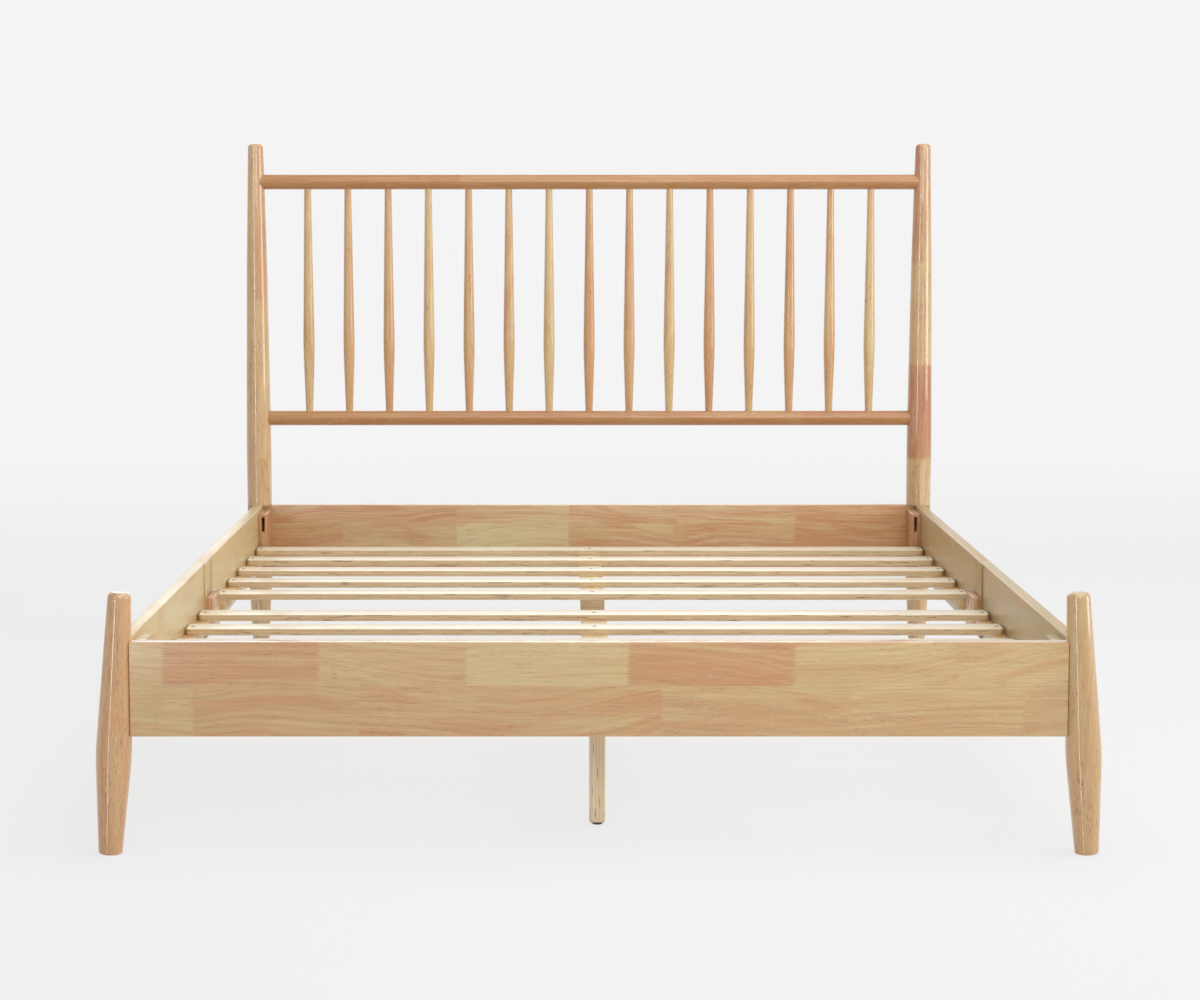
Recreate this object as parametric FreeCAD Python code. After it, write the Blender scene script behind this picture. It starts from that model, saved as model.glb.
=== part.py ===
"""Spindle bed: a turned headboard, splayed foot legs, split side rails and two decks of slats.

Millimetres.  +Z is up, +X is the sleeper's left-to-right seen from the foot, +Y runs to the head.
The origin is on the floor under the middle of the bed's outline.
"""
import FreeCAD, Part
import math
import os

V = FreeCAD.Vector
X_AXIS = V(1, 0, 0)
Y_AXIS = V(0, 1, 0)
Z_AXIS = V(0, 0, 1)
ORIGIN = V(0, 0, 0)

# --- driving dimensions -------------------------------------------------------------------
# the mattress sets the recess, and the recess sets the bed
MATTRESS_WIDTH = 1524.0
MATTRESS_LENGTH = 2032.0
MATTRESS_PLAY = 16.0

# boards; the turned pieces stand a little outside the recess
SIDE_RAIL_THICKNESS = 22.0
SIDE_RAIL_HEIGHT = 150.0
RAIL_TOP = 353.0
FOOT_RAIL_THICKNESS = 25.0
FOOT_RAIL_HEIGHT = 156.0
HEAD_PANEL_THICKNESS = 22.0
HEAD_PANEL_HEIGHT = 156.0
BOARD_EASE = 1.5
LEG_OUTSIDE_RECESS = 18.8
POST_OUTSIDE_RECESS = 9.0

# foot legs: turned, leaning outwards, with the thickest ring low down
LEG_HEIGHT = 434.0
LEG_FOOT_RADIUS = 19.7
LEG_BELLY_RADIUS = 30.1
LEG_BELLY_HEIGHT = 165.0
LEG_BELLY_ROUND = 500.0
LEG_TOP_RADIUS = 18.8
LEG_TOP_ROUND = 9.0
LEG_LEAN = 2.86
LEG_FLAT_DEPTH = 6.6

# head posts: turned and upright
POST_HEIGHT = 1200.0
POST_FOOT_RADIUS = 18.2
POST_ANKLE_RADIUS = 28.0
POST_ANKLE_HEIGHT = 185.0
POST_ANKLE_ROUND = 600.0
POST_BELLY_RADIUS = 29.2
POST_BELLY_HEIGHT = 500.0
POST_BELLY_ROUND = 6000.0
POST_SHOULDER_RADIUS = 24.2
POST_SHOULDER_HEIGHT = 900.0
POST_TOP_RADIUS = 17.9
POST_TOP_ROUND = 6.0
POST_FOOT_ROUND = 3.0

# headboard rails and spindles
HEAD_RAIL_RADIUS = 17.4
TOP_RAIL_HEIGHT = 1111.5
LOWER_RAIL_HEIGHT = 558.5
HEAD_TENON_RADIUS = 10.0
HEAD_TENON_PAST_AXIS = 7.0
SPINDLE_COUNT = 15
SPINDLE_FROM_POST_AXIS = 120.3
SPINDLE_FOOT_RADIUS = 8.3
SPINDLE_BELLY_RADIUS = 13.0
SPINDLE_BELLY_ABOVE_RAIL = 150.0
SPINDLE_BELLY_ROUND = 2800.0
SPINDLE_TOP_RADIUS = 7.7
SPINDLE_SOCKET_DEPTH = 15.0

# board tenons into the turned posts and legs
BOARD_TENON_THICKNESS = 12.0
BOARD_TENON_LENGTH = 15.0
BOARD_TENON_HEIGHT = 44.0

# side rails are sawn in two and joined near the middle
RAIL_JOINT_FROM_FOOT = 1015.0
SPLICE_LENGTH = 110.0
SPLICE_PLATE_THICKNESS = 2.5
SPLICE_BLOCK_THICKNESS = 14.0
SPLICE_BLOCK_HEIGHT = 72.0
SPLICE_BLOCK_TOP = 285.0
SPLICE_BOLT_SPACING = 54.0
SPLICE_BOLT_BELOW_BLOCK_TOP = 19.0
SPLICE_BOLT_RADIUS = 2.5
SPLICE_BOLT_HEAD_RADIUS = 4.2
SPLICE_BOLT_HEAD_HEIGHT = 4.0
SPLICE_BOLT_GRIP = 16.0
SPLICE_SLOT_WIDTH = 9.0
SPLICE_SLOT_HEIGHT = 20.0
SPLICE_SLOT_DEPTH = 7.0

# corner blocks, each holding two long bolts
CORNER_BLOCK_LENGTH = 115.0
CORNER_BLOCK_THICKNESS = 20.0
CORNER_BLOCK_HEIGHT = 135.0
CORNER_BLOCK_BELOW_RAIL_TOP = 9.0
CORNER_SLOT_WIDTH = 7.2
CORNER_SLOT_HEIGHT = 35.0
CORNER_SLOT_DEPTH = 40.0
CORNER_SLOT_BELOW_BLOCK_TOP = 7.0
CORNER_BOLT_FROM_RAIL = 12.0
CORNER_BOLT_RADIUS = 2.5
CORNER_BOLT_HEAD_RADIUS = 3.4
CORNER_BOLT_HEAD_HEIGHT = 8.0
INSERT_NUT_RADIUS = 4.25
INSERT_NUT_LENGTH = 12.0

# slats, in two decks of five, screwed to two ledgers and a beam
SLATS_PER_DECK = 5
SLAT_PITCH = 180.0
SLAT_WIDTH = 66.0
SLAT_THICKNESS = 12.5
SLAT_END_GAP = 4.0
SLAT_CORNER_ROUND = 8.0
SLAT_TOP = 270.0
DECK_GAP = 225.0
DECK_NUDGE_TO_FOOT = 3.0
LEDGER_WIDTH = 21.5
LEDGER_HEIGHT = 20.0
BEAM_WIDTH = 49.0
BEAM_HEIGHT = 25.0
BEAM_ROUND = 5.0

# centre legs with screw-in levelling feet
CENTRE_LEG_SIZE = 28.0
CENTRE_LEG_FROM_BEAM_END = 86.0
CENTRE_LEG_EDGE_ROUND = 2.5
CENTRE_LEG_TENON_RADIUS = 7.0
CENTRE_LEG_TENON_LENGTH = 16.0
PAD_RADIUS = 10.5
PAD_HEIGHT = 5.0
PAD_ROUND = 2.5
STUD_RADIUS = 3.0
STUD_LENGTH = 28.0
SLEEVE_RADIUS = 4.5
SLEEVE_LENGTH = 14.0

# a turned piece is built of narrow flats: so many round its girth, and so many over a rounding
GIRTH_FLATS = 24
SPINDLE_FLATS = 16
BOLT_FLATS = 12
BELLY_STEPS = 2
TOP_STEPS = 3
CORNER_STEPS = 3

# clearances
GLUE_GAP = 0.1
SEAT_GAP = 0.2
SCREW_HOLE_GAP = 0.1
STUD_RUNNING_GAP = 0.05
STUD_HOLE_GAP = 0.5
LEDGER_TO_BLOCK_GAP = 1.0

# --- places worked out from the driving dimensions ------------------------------------------
INNER_WIDTH = MATTRESS_WIDTH + MATTRESS_PLAY
INNER_LENGTH = MATTRESS_LENGTH + MATTRESS_PLAY
RAIL_INSIDE = INNER_WIDTH / 2
RAIL_OUTSIDE = RAIL_INSIDE + SIDE_RAIL_THICKNESS
RAIL_BOTTOM = RAIL_TOP - SIDE_RAIL_HEIGHT
FOOT_RAIL_BOTTOM = RAIL_TOP - FOOT_RAIL_HEIGHT
HEAD_PANEL_BOTTOM = RAIL_TOP - HEAD_PANEL_HEIGHT

# the side rails and corner blocks butt on two planes: the foot plane and the head plane
BED_LENGTH = (LEG_BELLY_RADIUS + FOOT_RAIL_THICKNESS / 2 + INNER_LENGTH
              + HEAD_PANEL_THICKNESS / 2 + POST_BELLY_RADIUS)
LEG_Y = -BED_LENGTH / 2 + LEG_BELLY_RADIUS
FOOT_PLANE = LEG_Y + FOOT_RAIL_THICKNESS / 2
HEAD_PLANE = FOOT_PLANE + INNER_LENGTH
POST_Y = HEAD_PLANE + HEAD_PANEL_THICKNESS / 2

# the head posts stand outside the recess; their inner flat is as wide as the head panel is thick
POST_X = RAIL_INSIDE + POST_OUTSIDE_RECESS
POST_FLAT = math.sqrt(POST_BELLY_RADIUS ** 2 - (HEAD_PANEL_THICKNESS / 2) ** 2)
PANEL_END = POST_X - POST_FLAT
SPINDLE_PITCH = 2 * (POST_X - SPINDLE_FROM_POST_AXIS) / (SPINDLE_COUNT - 1)

# the foot legs cross the rail's mid height in line with the side rails
RAIL_MIDDLE = RAIL_TOP - FOOT_RAIL_HEIGHT / 2
LEG_X_AT_RAIL = RAIL_INSIDE + LEG_OUTSIDE_RECESS
LEG_SLOPE = math.tan(math.radians(LEG_LEAN))
LEG_FOOT_X = LEG_X_AT_RAIL + RAIL_MIDDLE * LEG_SLOPE

SLAT_BOTTOM = SLAT_TOP - SLAT_THICKNESS
SLAT_END = RAIL_INSIDE - SLAT_END_GAP
LEDGER_TOP = SLAT_BOTTOM
BEAM_BOTTOM = SLAT_BOTTOM - BEAM_HEIGHT
RAIL_JOINT = FOOT_PLANE + RAIL_JOINT_FROM_FOOT
DECK_MIDDLE = RAIL_JOINT + DECK_NUDGE_TO_FOOT
DECK_LENGTH = (SLATS_PER_DECK - 1) * SLAT_PITCH + SLAT_WIDTH

CORNER_BLOCK_TOP = RAIL_TOP - CORNER_BLOCK_BELOW_RAIL_TOP
CORNER_BLOCK_BOTTOM = CORNER_BLOCK_TOP - CORNER_BLOCK_HEIGHT
CORNER_BOLT_X = RAIL_INSIDE - CORNER_BOLT_FROM_RAIL
CORNER_BOLT_Z = CORNER_BLOCK_TOP - CORNER_SLOT_BELOW_BLOCK_TOP - CORNER_SLOT_HEIGHT / 2
SIDES = (("left", -1), ("right", 1))
ENDS = (("foot", -1), ("head", 1))


# --- shape helpers --------------------------------------------------------------------------
def block(x_pair, y_pair, z_pair):
    """A box between two places on each axis, given in any order."""
    low = V(min(x_pair), min(y_pair), min(z_pair))
    size = (abs(x_pair[1] - x_pair[0]), abs(y_pair[1] - y_pair[0]), abs(z_pair[1] - z_pair[0]))
    return Part.makeBox(size[0], size[1], size[2], low)


def edges_along(shape, direction):
    """The straight edges of a shape that run along one axis."""
    found = []
    for edge in shape.Edges:
        run = edge.Vertexes[-1].Point.sub(edge.Vertexes[0].Point)
        if run.Length > 0 and run.normalize().cross(direction).Length < 1e-6:
            found.append(edge)
    return found


def board(x_pair, y_pair, z_pair, grain, ease=BOARD_EASE):
    """A sawn board whose long edges, along the grain, are eased."""
    blank = block(x_pair, y_pair, z_pair)
    return blank.makeChamfer(ease, edges_along(blank, grain))


def rod(radius, start, direction, length):
    return Part.makeCylinder(radius, length, start, direction)


def rounded_outline(corners):
    """Points of (radius, height); a corner's rounding is stepped off along its tangent arc."""
    points = [V(radius, 0, height) for radius, height, rounding, steps in corners]
    outline = [points[0]]
    for index in range(1, len(points) - 1):
        corner = points[index]
        rounding, steps = corners[index][2:]
        if steps == 0:
            outline.append(corner)
            continue
        back = points[index - 1].sub(corner).normalize()
        ahead = points[index + 1].sub(corner).normalize()
        half_turn = (math.pi - back.getAngle(ahead)) / 2
        middle = corner + (back + ahead).normalize() * (rounding / math.cos(half_turn))
        spoke = corner.sub(middle).normalize()
        across = ahead.sub(back).normalize()
        for step in range(steps + 1):
            angle = half_turn * (2 * step / steps - 1)
            outline.append(middle + (spoke * math.cos(angle) + across * math.sin(angle)) * rounding)
    return outline + [points[-1]]


def ring(radius, height, flats):
    """The closed row of points round the Z axis where two bands of flats meet."""
    points = []
    for index in range(flats):
        angle = 2 * math.pi * index / flats
        points.append(V(radius * math.cos(angle), radius * math.sin(angle), height))
    return points + [points[0]]


def turned(corners, flats=GIRTH_FLATS):
    """A solid turned about the Z axis from the foot of its outline to the top, in bands of flats."""
    rings = [ring(point.x, point.z, flats) for point in rounded_outline(corners)]
    faces = [Part.Face(Part.makePolygon(end_ring)) for end_ring in (rings[0], rings[-1])]
    for lower, upper in zip(rings, rings[1:]):
        for index in range(flats):
            after = index + 1
            flat = [lower[index], lower[after], upper[after], upper[index], lower[index]]
            faces.append(Part.Face(Part.makePolygon(flat)))
    return Part.makeSolid(Part.makeShell(faces))


def many_sided_rod(radius, start, direction, length, flats=BOLT_FLATS):
    """A straight rod of flats, for what is small, hidden or repeated."""
    body = turned([(radius, 0, 0, 0), (radius, length, 0, 0)], flats)
    body.Placement = FreeCAD.Placement(start, FreeCAD.Rotation(Z_AXIS, direction))
    return body


def upright_slot(width, height, centre, direction, depth):
    """A round-ended slot, tall along Z, cut along a direction."""
    half_straight = (height - width) / 2
    across = direction.cross(Z_AXIS)
    cutter = rod(width / 2, centre + Z_AXIS * half_straight, direction, depth)
    cutter = cutter.fuse(rod(width / 2, centre - Z_AXIS * half_straight, direction, depth))
    side = across * (width / 2)
    top = Z_AXIS * half_straight
    face = Part.Face(Part.makePolygon([centre - side - top, centre + side - top,
                                       centre + side + top, centre - side + top,
                                       centre - side - top]))
    return cutter.fuse(face.extrude(direction * depth)).removeSplitter()


def save(name, shape):
    shape.exportStep("parts/" + name + ".step")


# --- foot end -------------------------------------------------------------------------------
def leaning_leg(side):
    """The turned leg, leaned outwards in X and sawn level at the floor."""
    below_floor = 2 * LEG_FOOT_RADIUS * LEG_SLOPE
    corners = [(LEG_FOOT_RADIUS, -below_floor, 0, 0),
               (LEG_BELLY_RADIUS, LEG_BELLY_HEIGHT, LEG_BELLY_ROUND, BELLY_STEPS),
               (LEG_TOP_RADIUS, LEG_HEIGHT, LEG_TOP_ROUND, TOP_STEPS),
               (LEG_TOP_RADIUS - 2 * LEG_TOP_ROUND, LEG_HEIGHT, 0, 0)]
    leg = turned(corners)
    leg.rotate(ORIGIN, Y_AXIS, -side * LEG_LEAN)
    leg.translate(V(side * LEG_FOOT_X, LEG_Y, 0))
    reach = LEG_BELLY_RADIUS * 2
    under = block((side * (LEG_FOOT_X - reach), side * (LEG_FOOT_X + reach)),
                  (LEG_Y - reach, LEG_Y + reach), (-reach, 0))
    return leg.cut(under)


def foot_rail_end():
    """Where the foot rail stops against the flats of the legs."""
    return LEG_X_AT_RAIL - LEG_BELLY_RADIUS + LEG_FLAT_DEPTH


def make_foot_leg(side):
    """The leg, with a flat and mortise for the foot rail and a notch behind for the side rail."""
    leg = leaning_leg(side)
    reach = LEG_BELLY_RADIUS * 3
    end = foot_rail_end()
    flat = block((side * (end - reach), side * end), (LEG_Y - reach, LEG_Y + reach),
                 (FOOT_RAIL_BOTTOM - SEAT_GAP, RAIL_TOP + SEAT_GAP))
    notch = block((side * (end - reach), side * (LEG_FOOT_X + reach)), (FOOT_PLANE, FOOT_PLANE + reach),
                  (RAIL_BOTTOM - SEAT_GAP, RAIL_TOP + SEAT_GAP))
    mortise = board_tenon(side, end, LEG_Y, RAIL_MIDDLE, GLUE_GAP)
    return leg.cut(flat).cut(notch).cut(mortise)


def board_tenon(side, end, y, z, gap=0.0):
    """The stub tenon on a board's end, or with a gap the mortise that takes it."""
    half_thickness = BOARD_TENON_THICKNESS / 2 + gap
    half_height = BOARD_TENON_HEIGHT / 2 + gap
    return block((side * (end - gap), side * (end + BOARD_TENON_LENGTH + gap)),
                 (y - half_thickness, y + half_thickness), (z - half_height, z + half_height))


def make_foot_rail():
    end = foot_rail_end()
    rail = board((-end, end), (FOOT_PLANE - FOOT_RAIL_THICKNESS, FOOT_PLANE),
                 (FOOT_RAIL_BOTTOM, RAIL_TOP), X_AXIS)
    for name, side in SIDES:
        rail = rail.fuse(board_tenon(side, end, LEG_Y, RAIL_MIDDLE))
        rail = rail.cut(insert_nut_hole(side, -1))
    return rail


# --- head end -------------------------------------------------------------------------------
def post_blank(side, gap=0.0):
    """The turned head post before its joints are cut, grown all round by a gap."""
    corners = [(POST_FOOT_RADIUS - POST_FOOT_ROUND + gap, 0, 0, 0),
               (POST_FOOT_RADIUS + gap, POST_FOOT_ROUND, 0, 0),
               (POST_ANKLE_RADIUS + gap, POST_ANKLE_HEIGHT, POST_ANKLE_ROUND, BELLY_STEPS),
               (POST_BELLY_RADIUS + gap, POST_BELLY_HEIGHT, POST_BELLY_ROUND, BELLY_STEPS),
               (POST_SHOULDER_RADIUS + gap, POST_SHOULDER_HEIGHT, 0, 0),
               (POST_TOP_RADIUS + gap, POST_HEIGHT, POST_TOP_ROUND, TOP_STEPS),
               (POST_TOP_RADIUS - 2 * POST_TOP_ROUND, POST_HEIGHT, 0, 0)]
    post = turned(corners)
    post.translate(V(side * POST_X, POST_Y, 0))
    return post


def head_tenon(side, z, gap=0.0):
    """The round tenon on a headboard rail's end, or with a gap its socket in the post."""
    start = POST_X - POST_BELLY_RADIUS
    length = POST_BELLY_RADIUS + HEAD_TENON_PAST_AXIS + gap
    return many_sided_rod(HEAD_TENON_RADIUS + gap, V(side * start, POST_Y, z), X_AXIS * side, length)


def make_head_post(side):
    """The post, with sockets for the rails, a flat for the panel and a notch for the side rail."""
    post = post_blank(side)
    for z in (TOP_RAIL_HEIGHT, LOWER_RAIL_HEIGHT):
        post = post.cut(head_tenon(side, z, GLUE_GAP))
    reach = POST_BELLY_RADIUS * 2
    flat = block((side * (PANEL_END - reach), side * PANEL_END), (POST_Y - reach, POST_Y + reach),
                 (HEAD_PANEL_BOTTOM - SEAT_GAP, RAIL_TOP + SEAT_GAP))
    notch = block((side * (POST_X - reach), side * (POST_X + reach)), (HEAD_PLANE - reach, HEAD_PLANE),
                  (RAIL_BOTTOM - SEAT_GAP, RAIL_TOP + SEAT_GAP))
    post = post.cut(flat).cut(notch)
    post = post.cut(board_tenon(side, PANEL_END, POST_Y, RAIL_MIDDLE, GLUE_GAP))
    return post.cut(insert_nut_hole(side, 1))


def spindle_places():
    middle = (SPINDLE_COUNT - 1) / 2
    return [(index - middle) * SPINDLE_PITCH for index in range(SPINDLE_COUNT)]


def spindle_socket(x, rail_height, rising, radius):
    """The blind hole for a spindle's end, bored from the rail's surface towards its axis."""
    deep = rail_height + rising * (HEAD_RAIL_RADIUS - SPINDLE_SOCKET_DEPTH - GLUE_GAP)
    length = SPINDLE_SOCKET_DEPTH + HEAD_RAIL_RADIUS
    start = V(x, POST_Y, min(deep, deep + rising * length))
    return many_sided_rod(radius + GLUE_GAP, start, Z_AXIS, length, SPINDLE_FLATS)


def make_head_rail(z, rising, socket_radius):
    """A round rail, coped to the posts, with a tenon at each end and a row of spindle sockets."""
    # the rail is drawn only to the posts' axes, so nothing is left beyond them
    rail = many_sided_rod(HEAD_RAIL_RADIUS, V(-POST_X, POST_Y, z), X_AXIS, 2 * POST_X, GIRTH_FLATS)
    for name, side in SIDES:
        rail = rail.cut(post_blank(side, SEAT_GAP))
    for name, side in SIDES:
        tenon_root = POST_X - POST_BELLY_RADIUS - HEAD_RAIL_RADIUS
        tenon_length = POST_X + HEAD_TENON_PAST_AXIS - tenon_root
        tenon_start = V(side * tenon_root, POST_Y, z)
        rail = rail.fuse(many_sided_rod(HEAD_TENON_RADIUS, tenon_start, X_AXIS * side, tenon_length))
    for x in spindle_places():
        rail = rail.cut(spindle_socket(x, z, rising, socket_radius))
    return rail


def make_spindle(x):
    """A slim turned spindle, fattest low down, whose tapering ends fill the sockets."""
    bottom = LOWER_RAIL_HEIGHT + HEAD_RAIL_RADIUS
    top = TOP_RAIL_HEIGHT - HEAD_RAIL_RADIUS
    belly = bottom + SPINDLE_BELLY_ABOVE_RAIL
    foot_taper = (SPINDLE_BELLY_RADIUS - SPINDLE_FOOT_RADIUS) / SPINDLE_BELLY_ABOVE_RAIL
    top_taper = (SPINDLE_BELLY_RADIUS - SPINDLE_TOP_RADIUS) / (top - belly)
    foot_end = bottom - SPINDLE_SOCKET_DEPTH
    top_end = top + SPINDLE_SOCKET_DEPTH
    corners = [(SPINDLE_FOOT_RADIUS - foot_taper * SPINDLE_SOCKET_DEPTH, foot_end, 0, 0),
               (SPINDLE_BELLY_RADIUS, belly, SPINDLE_BELLY_ROUND, BELLY_STEPS),
               (SPINDLE_TOP_RADIUS - top_taper * SPINDLE_SOCKET_DEPTH, top_end, 0, 0)]
    spindle = turned(corners, SPINDLE_FLATS)
    spindle.translate(V(x, POST_Y, 0))
    return spindle


def make_head_panel():
    panel = board((-PANEL_END, PANEL_END), (HEAD_PLANE, HEAD_PLANE + HEAD_PANEL_THICKNESS),
                  (HEAD_PANEL_BOTTOM, RAIL_TOP), X_AXIS)
    for name, side in SIDES:
        panel = panel.fuse(board_tenon(side, PANEL_END, POST_Y, RAIL_MIDDLE))
    return panel


# --- sides ----------------------------------------------------------------------------------
def rail_span(end_sign):
    """The Y places between which one half of a side rail runs."""
    if end_sign < 0:
        return (FOOT_PLANE, RAIL_JOINT)
    return (RAIL_JOINT, HEAD_PLANE)


def make_side_rail(side, end_sign):
    rail = board((side * RAIL_INSIDE, side * RAIL_OUTSIDE), rail_span(end_sign),
                 (RAIL_BOTTOM, RAIL_TOP), Y_AXIS)
    for y, z in splice_bolt_places():
        if (y - RAIL_JOINT) * end_sign > 0:
            rail = rail.cut(splice_bolt_hole(side, y, z))
    return rail


def splice_span():
    return (RAIL_JOINT - SPLICE_LENGTH / 2, RAIL_JOINT + SPLICE_LENGTH / 2)


def splice_bolt_places():
    """Two bolts to a splice: one in each half of the rail."""
    z = SPLICE_BLOCK_TOP - SPLICE_BOLT_BELOW_BLOCK_TOP
    return [(RAIL_JOINT + end_sign * SPLICE_BOLT_SPACING / 2, z) for end_name, end_sign in ENDS]


def splice_block_face():
    return RAIL_INSIDE - SPLICE_PLATE_THICKNESS - SPLICE_BLOCK_THICKNESS


def splice_bolt_seat():
    return splice_block_face() + SPLICE_SLOT_DEPTH


def splice_bolt_hole(side, y, z):
    start = V(side * splice_block_face(), y, z)
    length = SPLICE_PLATE_THICKNESS + SPLICE_BLOCK_THICKNESS + SPLICE_BOLT_GRIP + GLUE_GAP
    return many_sided_rod(SPLICE_BOLT_RADIUS + SCREW_HOLE_GAP, start, X_AXIS * side, length)


def make_splice_plate(side):
    """The thin full-height plate over the joint of a side rail's two halves."""
    plate = block((side * RAIL_INSIDE, side * (RAIL_INSIDE - SPLICE_PLATE_THICKNESS)), splice_span(),
                  (RAIL_BOTTOM, RAIL_TOP))
    for y, z in splice_bolt_places():
        plate = plate.cut(splice_bolt_hole(side, y, z))
    return plate


def make_splice_block(side):
    """The thick block low on the plate, slotted for the bolt heads."""
    outer = RAIL_INSIDE - SPLICE_PLATE_THICKNESS
    body = board((side * outer, side * splice_block_face()), splice_span(),
                 (SPLICE_BLOCK_TOP - SPLICE_BLOCK_HEIGHT, SPLICE_BLOCK_TOP), Y_AXIS)
    for y, z in splice_bolt_places():
        body = body.cut(splice_bolt_hole(side, y, z))
        slot_start = V(side * splice_block_face(), y, z)
        body = body.cut(upright_slot(SPLICE_SLOT_WIDTH, SPLICE_SLOT_HEIGHT, slot_start,
                                     X_AXIS * side, SPLICE_SLOT_DEPTH))
    return body


def headed_bolt(seat, direction, shank_radius, shank_length, head_radius, head_height):
    """A bolt whose head sits on the seat and whose shank runs along the direction."""
    head = many_sided_rod(head_radius, seat - direction * head_height, direction, head_height)
    return head.fuse(many_sided_rod(shank_radius, seat, direction, shank_length))


def make_splice_bolts():
    bolts = []
    length = splice_bolt_length()
    for name, side in SIDES:
        for y, z in splice_bolt_places():
            seat = V(side * splice_bolt_seat(), y, z)
            bolts.append(headed_bolt(seat, X_AXIS * side, SPLICE_BOLT_RADIUS, length,
                                     SPLICE_BOLT_HEAD_RADIUS, SPLICE_BOLT_HEAD_HEIGHT))
    return Part.makeCompound(bolts)


def splice_bolt_length():
    return SPLICE_BLOCK_THICKNESS - SPLICE_SLOT_DEPTH + SPLICE_PLATE_THICKNESS + SPLICE_BOLT_GRIP


# --- corners --------------------------------------------------------------------------------
def end_plane(end_sign):
    return FOOT_PLANE if end_sign < 0 else HEAD_PLANE


def make_corner_block(side, end_sign):
    """The block inside a corner: a slot for the bolt's head, and a bolt hole on to the post."""
    plane = end_plane(end_sign)
    inner_end = plane - end_sign * CORNER_BLOCK_LENGTH
    towards_post = Y_AXIS * end_sign
    body = board((side * RAIL_INSIDE, side * (RAIL_INSIDE - CORNER_BLOCK_THICKNESS)),
                 (inner_end, plane), (CORNER_BLOCK_BOTTOM, CORNER_BLOCK_TOP), Y_AXIS)
    mouth = V(side * CORNER_BOLT_X, inner_end, CORNER_BOLT_Z)
    slot = upright_slot(CORNER_SLOT_WIDTH, CORNER_SLOT_HEIGHT, mouth, towards_post, CORNER_SLOT_DEPTH)
    hole = many_sided_rod(CORNER_BOLT_RADIUS + SCREW_HOLE_GAP, mouth, towards_post, CORNER_BLOCK_LENGTH)
    return body.cut(slot).cut(hole)


def nut_mouth(side, end_sign):
    return V(side * CORNER_BOLT_X, end_plane(end_sign), CORNER_BOLT_Z)


def insert_nut_hole(side, end_sign):
    """The blind hole for an insert nut."""
    return many_sided_rod(INSERT_NUT_RADIUS + GLUE_GAP, nut_mouth(side, end_sign), Y_AXIS * end_sign,
                          INSERT_NUT_LENGTH + GLUE_GAP)


def each_corner():
    return [(side, end_sign) for end_name, end_sign in ENDS for side_name, side in SIDES]


def make_corner_bolts():
    """The long bolts through the corner blocks."""
    grip = CORNER_BLOCK_LENGTH - CORNER_SLOT_DEPTH
    bolts = []
    for side, end_sign in each_corner():
        seat = nut_mouth(side, end_sign) - Y_AXIS * end_sign * grip
        bolts.append(headed_bolt(seat, Y_AXIS * end_sign, CORNER_BOLT_RADIUS, grip + INSERT_NUT_LENGTH,
                                 CORNER_BOLT_HEAD_RADIUS, CORNER_BOLT_HEAD_HEIGHT))
    return Part.makeCompound(bolts)


def make_insert_nuts():
    """The nuts let into the posts and the foot rail for the corner bolts."""
    nuts = []
    for side, end_sign in each_corner():
        mouth = nut_mouth(side, end_sign)
        sleeve = many_sided_rod(INSERT_NUT_RADIUS, mouth, Y_AXIS * end_sign, INSERT_NUT_LENGTH)
        bore = many_sided_rod(CORNER_BOLT_RADIUS + SCREW_HOLE_GAP, mouth, Y_AXIS * end_sign,
                              INSERT_NUT_LENGTH)
        nuts.append(sleeve.cut(bore))
    return Part.makeCompound(nuts)


# --- slat decks -----------------------------------------------------------------------------
def deck_span(end_sign):
    """The Y places between which one deck of slats runs."""
    near = DECK_MIDDLE + end_sign * DECK_GAP / 2
    return (near, near + end_sign * DECK_LENGTH)


def slat_centres():
    """The slats' middle lines, numbered from the head to the foot."""
    centres = []
    for end_name, end_sign in ENDS:
        near = deck_span(end_sign)[0]
        for index in range(SLATS_PER_DECK):
            centres.append(near + end_sign * (SLAT_WIDTH / 2 + index * SLAT_PITCH))
    return sorted(centres, reverse=True)


def make_slat(y):
    """A plywood slat whose corners are rounded as seen from above."""
    to_corner_x = SLAT_END - SLAT_CORNER_ROUND
    to_corner_y = SLAT_WIDTH / 2 - SLAT_CORNER_ROUND
    outline = []
    for quarter, (x_sign, y_sign) in enumerate(((1, 1), (-1, 1), (-1, -1), (1, -1))):
        middle = V(x_sign * to_corner_x, y + y_sign * to_corner_y, SLAT_BOTTOM)
        for step in range(CORNER_STEPS + 1):
            angle = (quarter + step / CORNER_STEPS) * math.pi / 2
            outline.append(middle + V(math.cos(angle), math.sin(angle), 0) * SLAT_CORNER_ROUND)
    return Part.Face(Part.makePolygon(outline + [outline[0]])).extrude(Z_AXIS * SLAT_THICKNESS)


def ledger_span(end_sign):
    """A ledger runs from the deck's inner edge to just short of the corner block."""
    near = deck_span(end_sign)[0]
    block_end = end_plane(end_sign) - end_sign * CORNER_BLOCK_LENGTH
    return (near, block_end - end_sign * LEDGER_TO_BLOCK_GAP)


def make_ledger(side, end_sign):
    """The plain strip on a side rail that carries the slats' ends."""
    return block((side * RAIL_INSIDE, side * (RAIL_INSIDE - LEDGER_WIDTH)), ledger_span(end_sign),
                 (LEDGER_TOP - LEDGER_HEIGHT, LEDGER_TOP))


def centre_leg_y(end_sign):
    outer_end = deck_span(end_sign)[1]
    return outer_end - end_sign * CENTRE_LEG_FROM_BEAM_END


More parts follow.
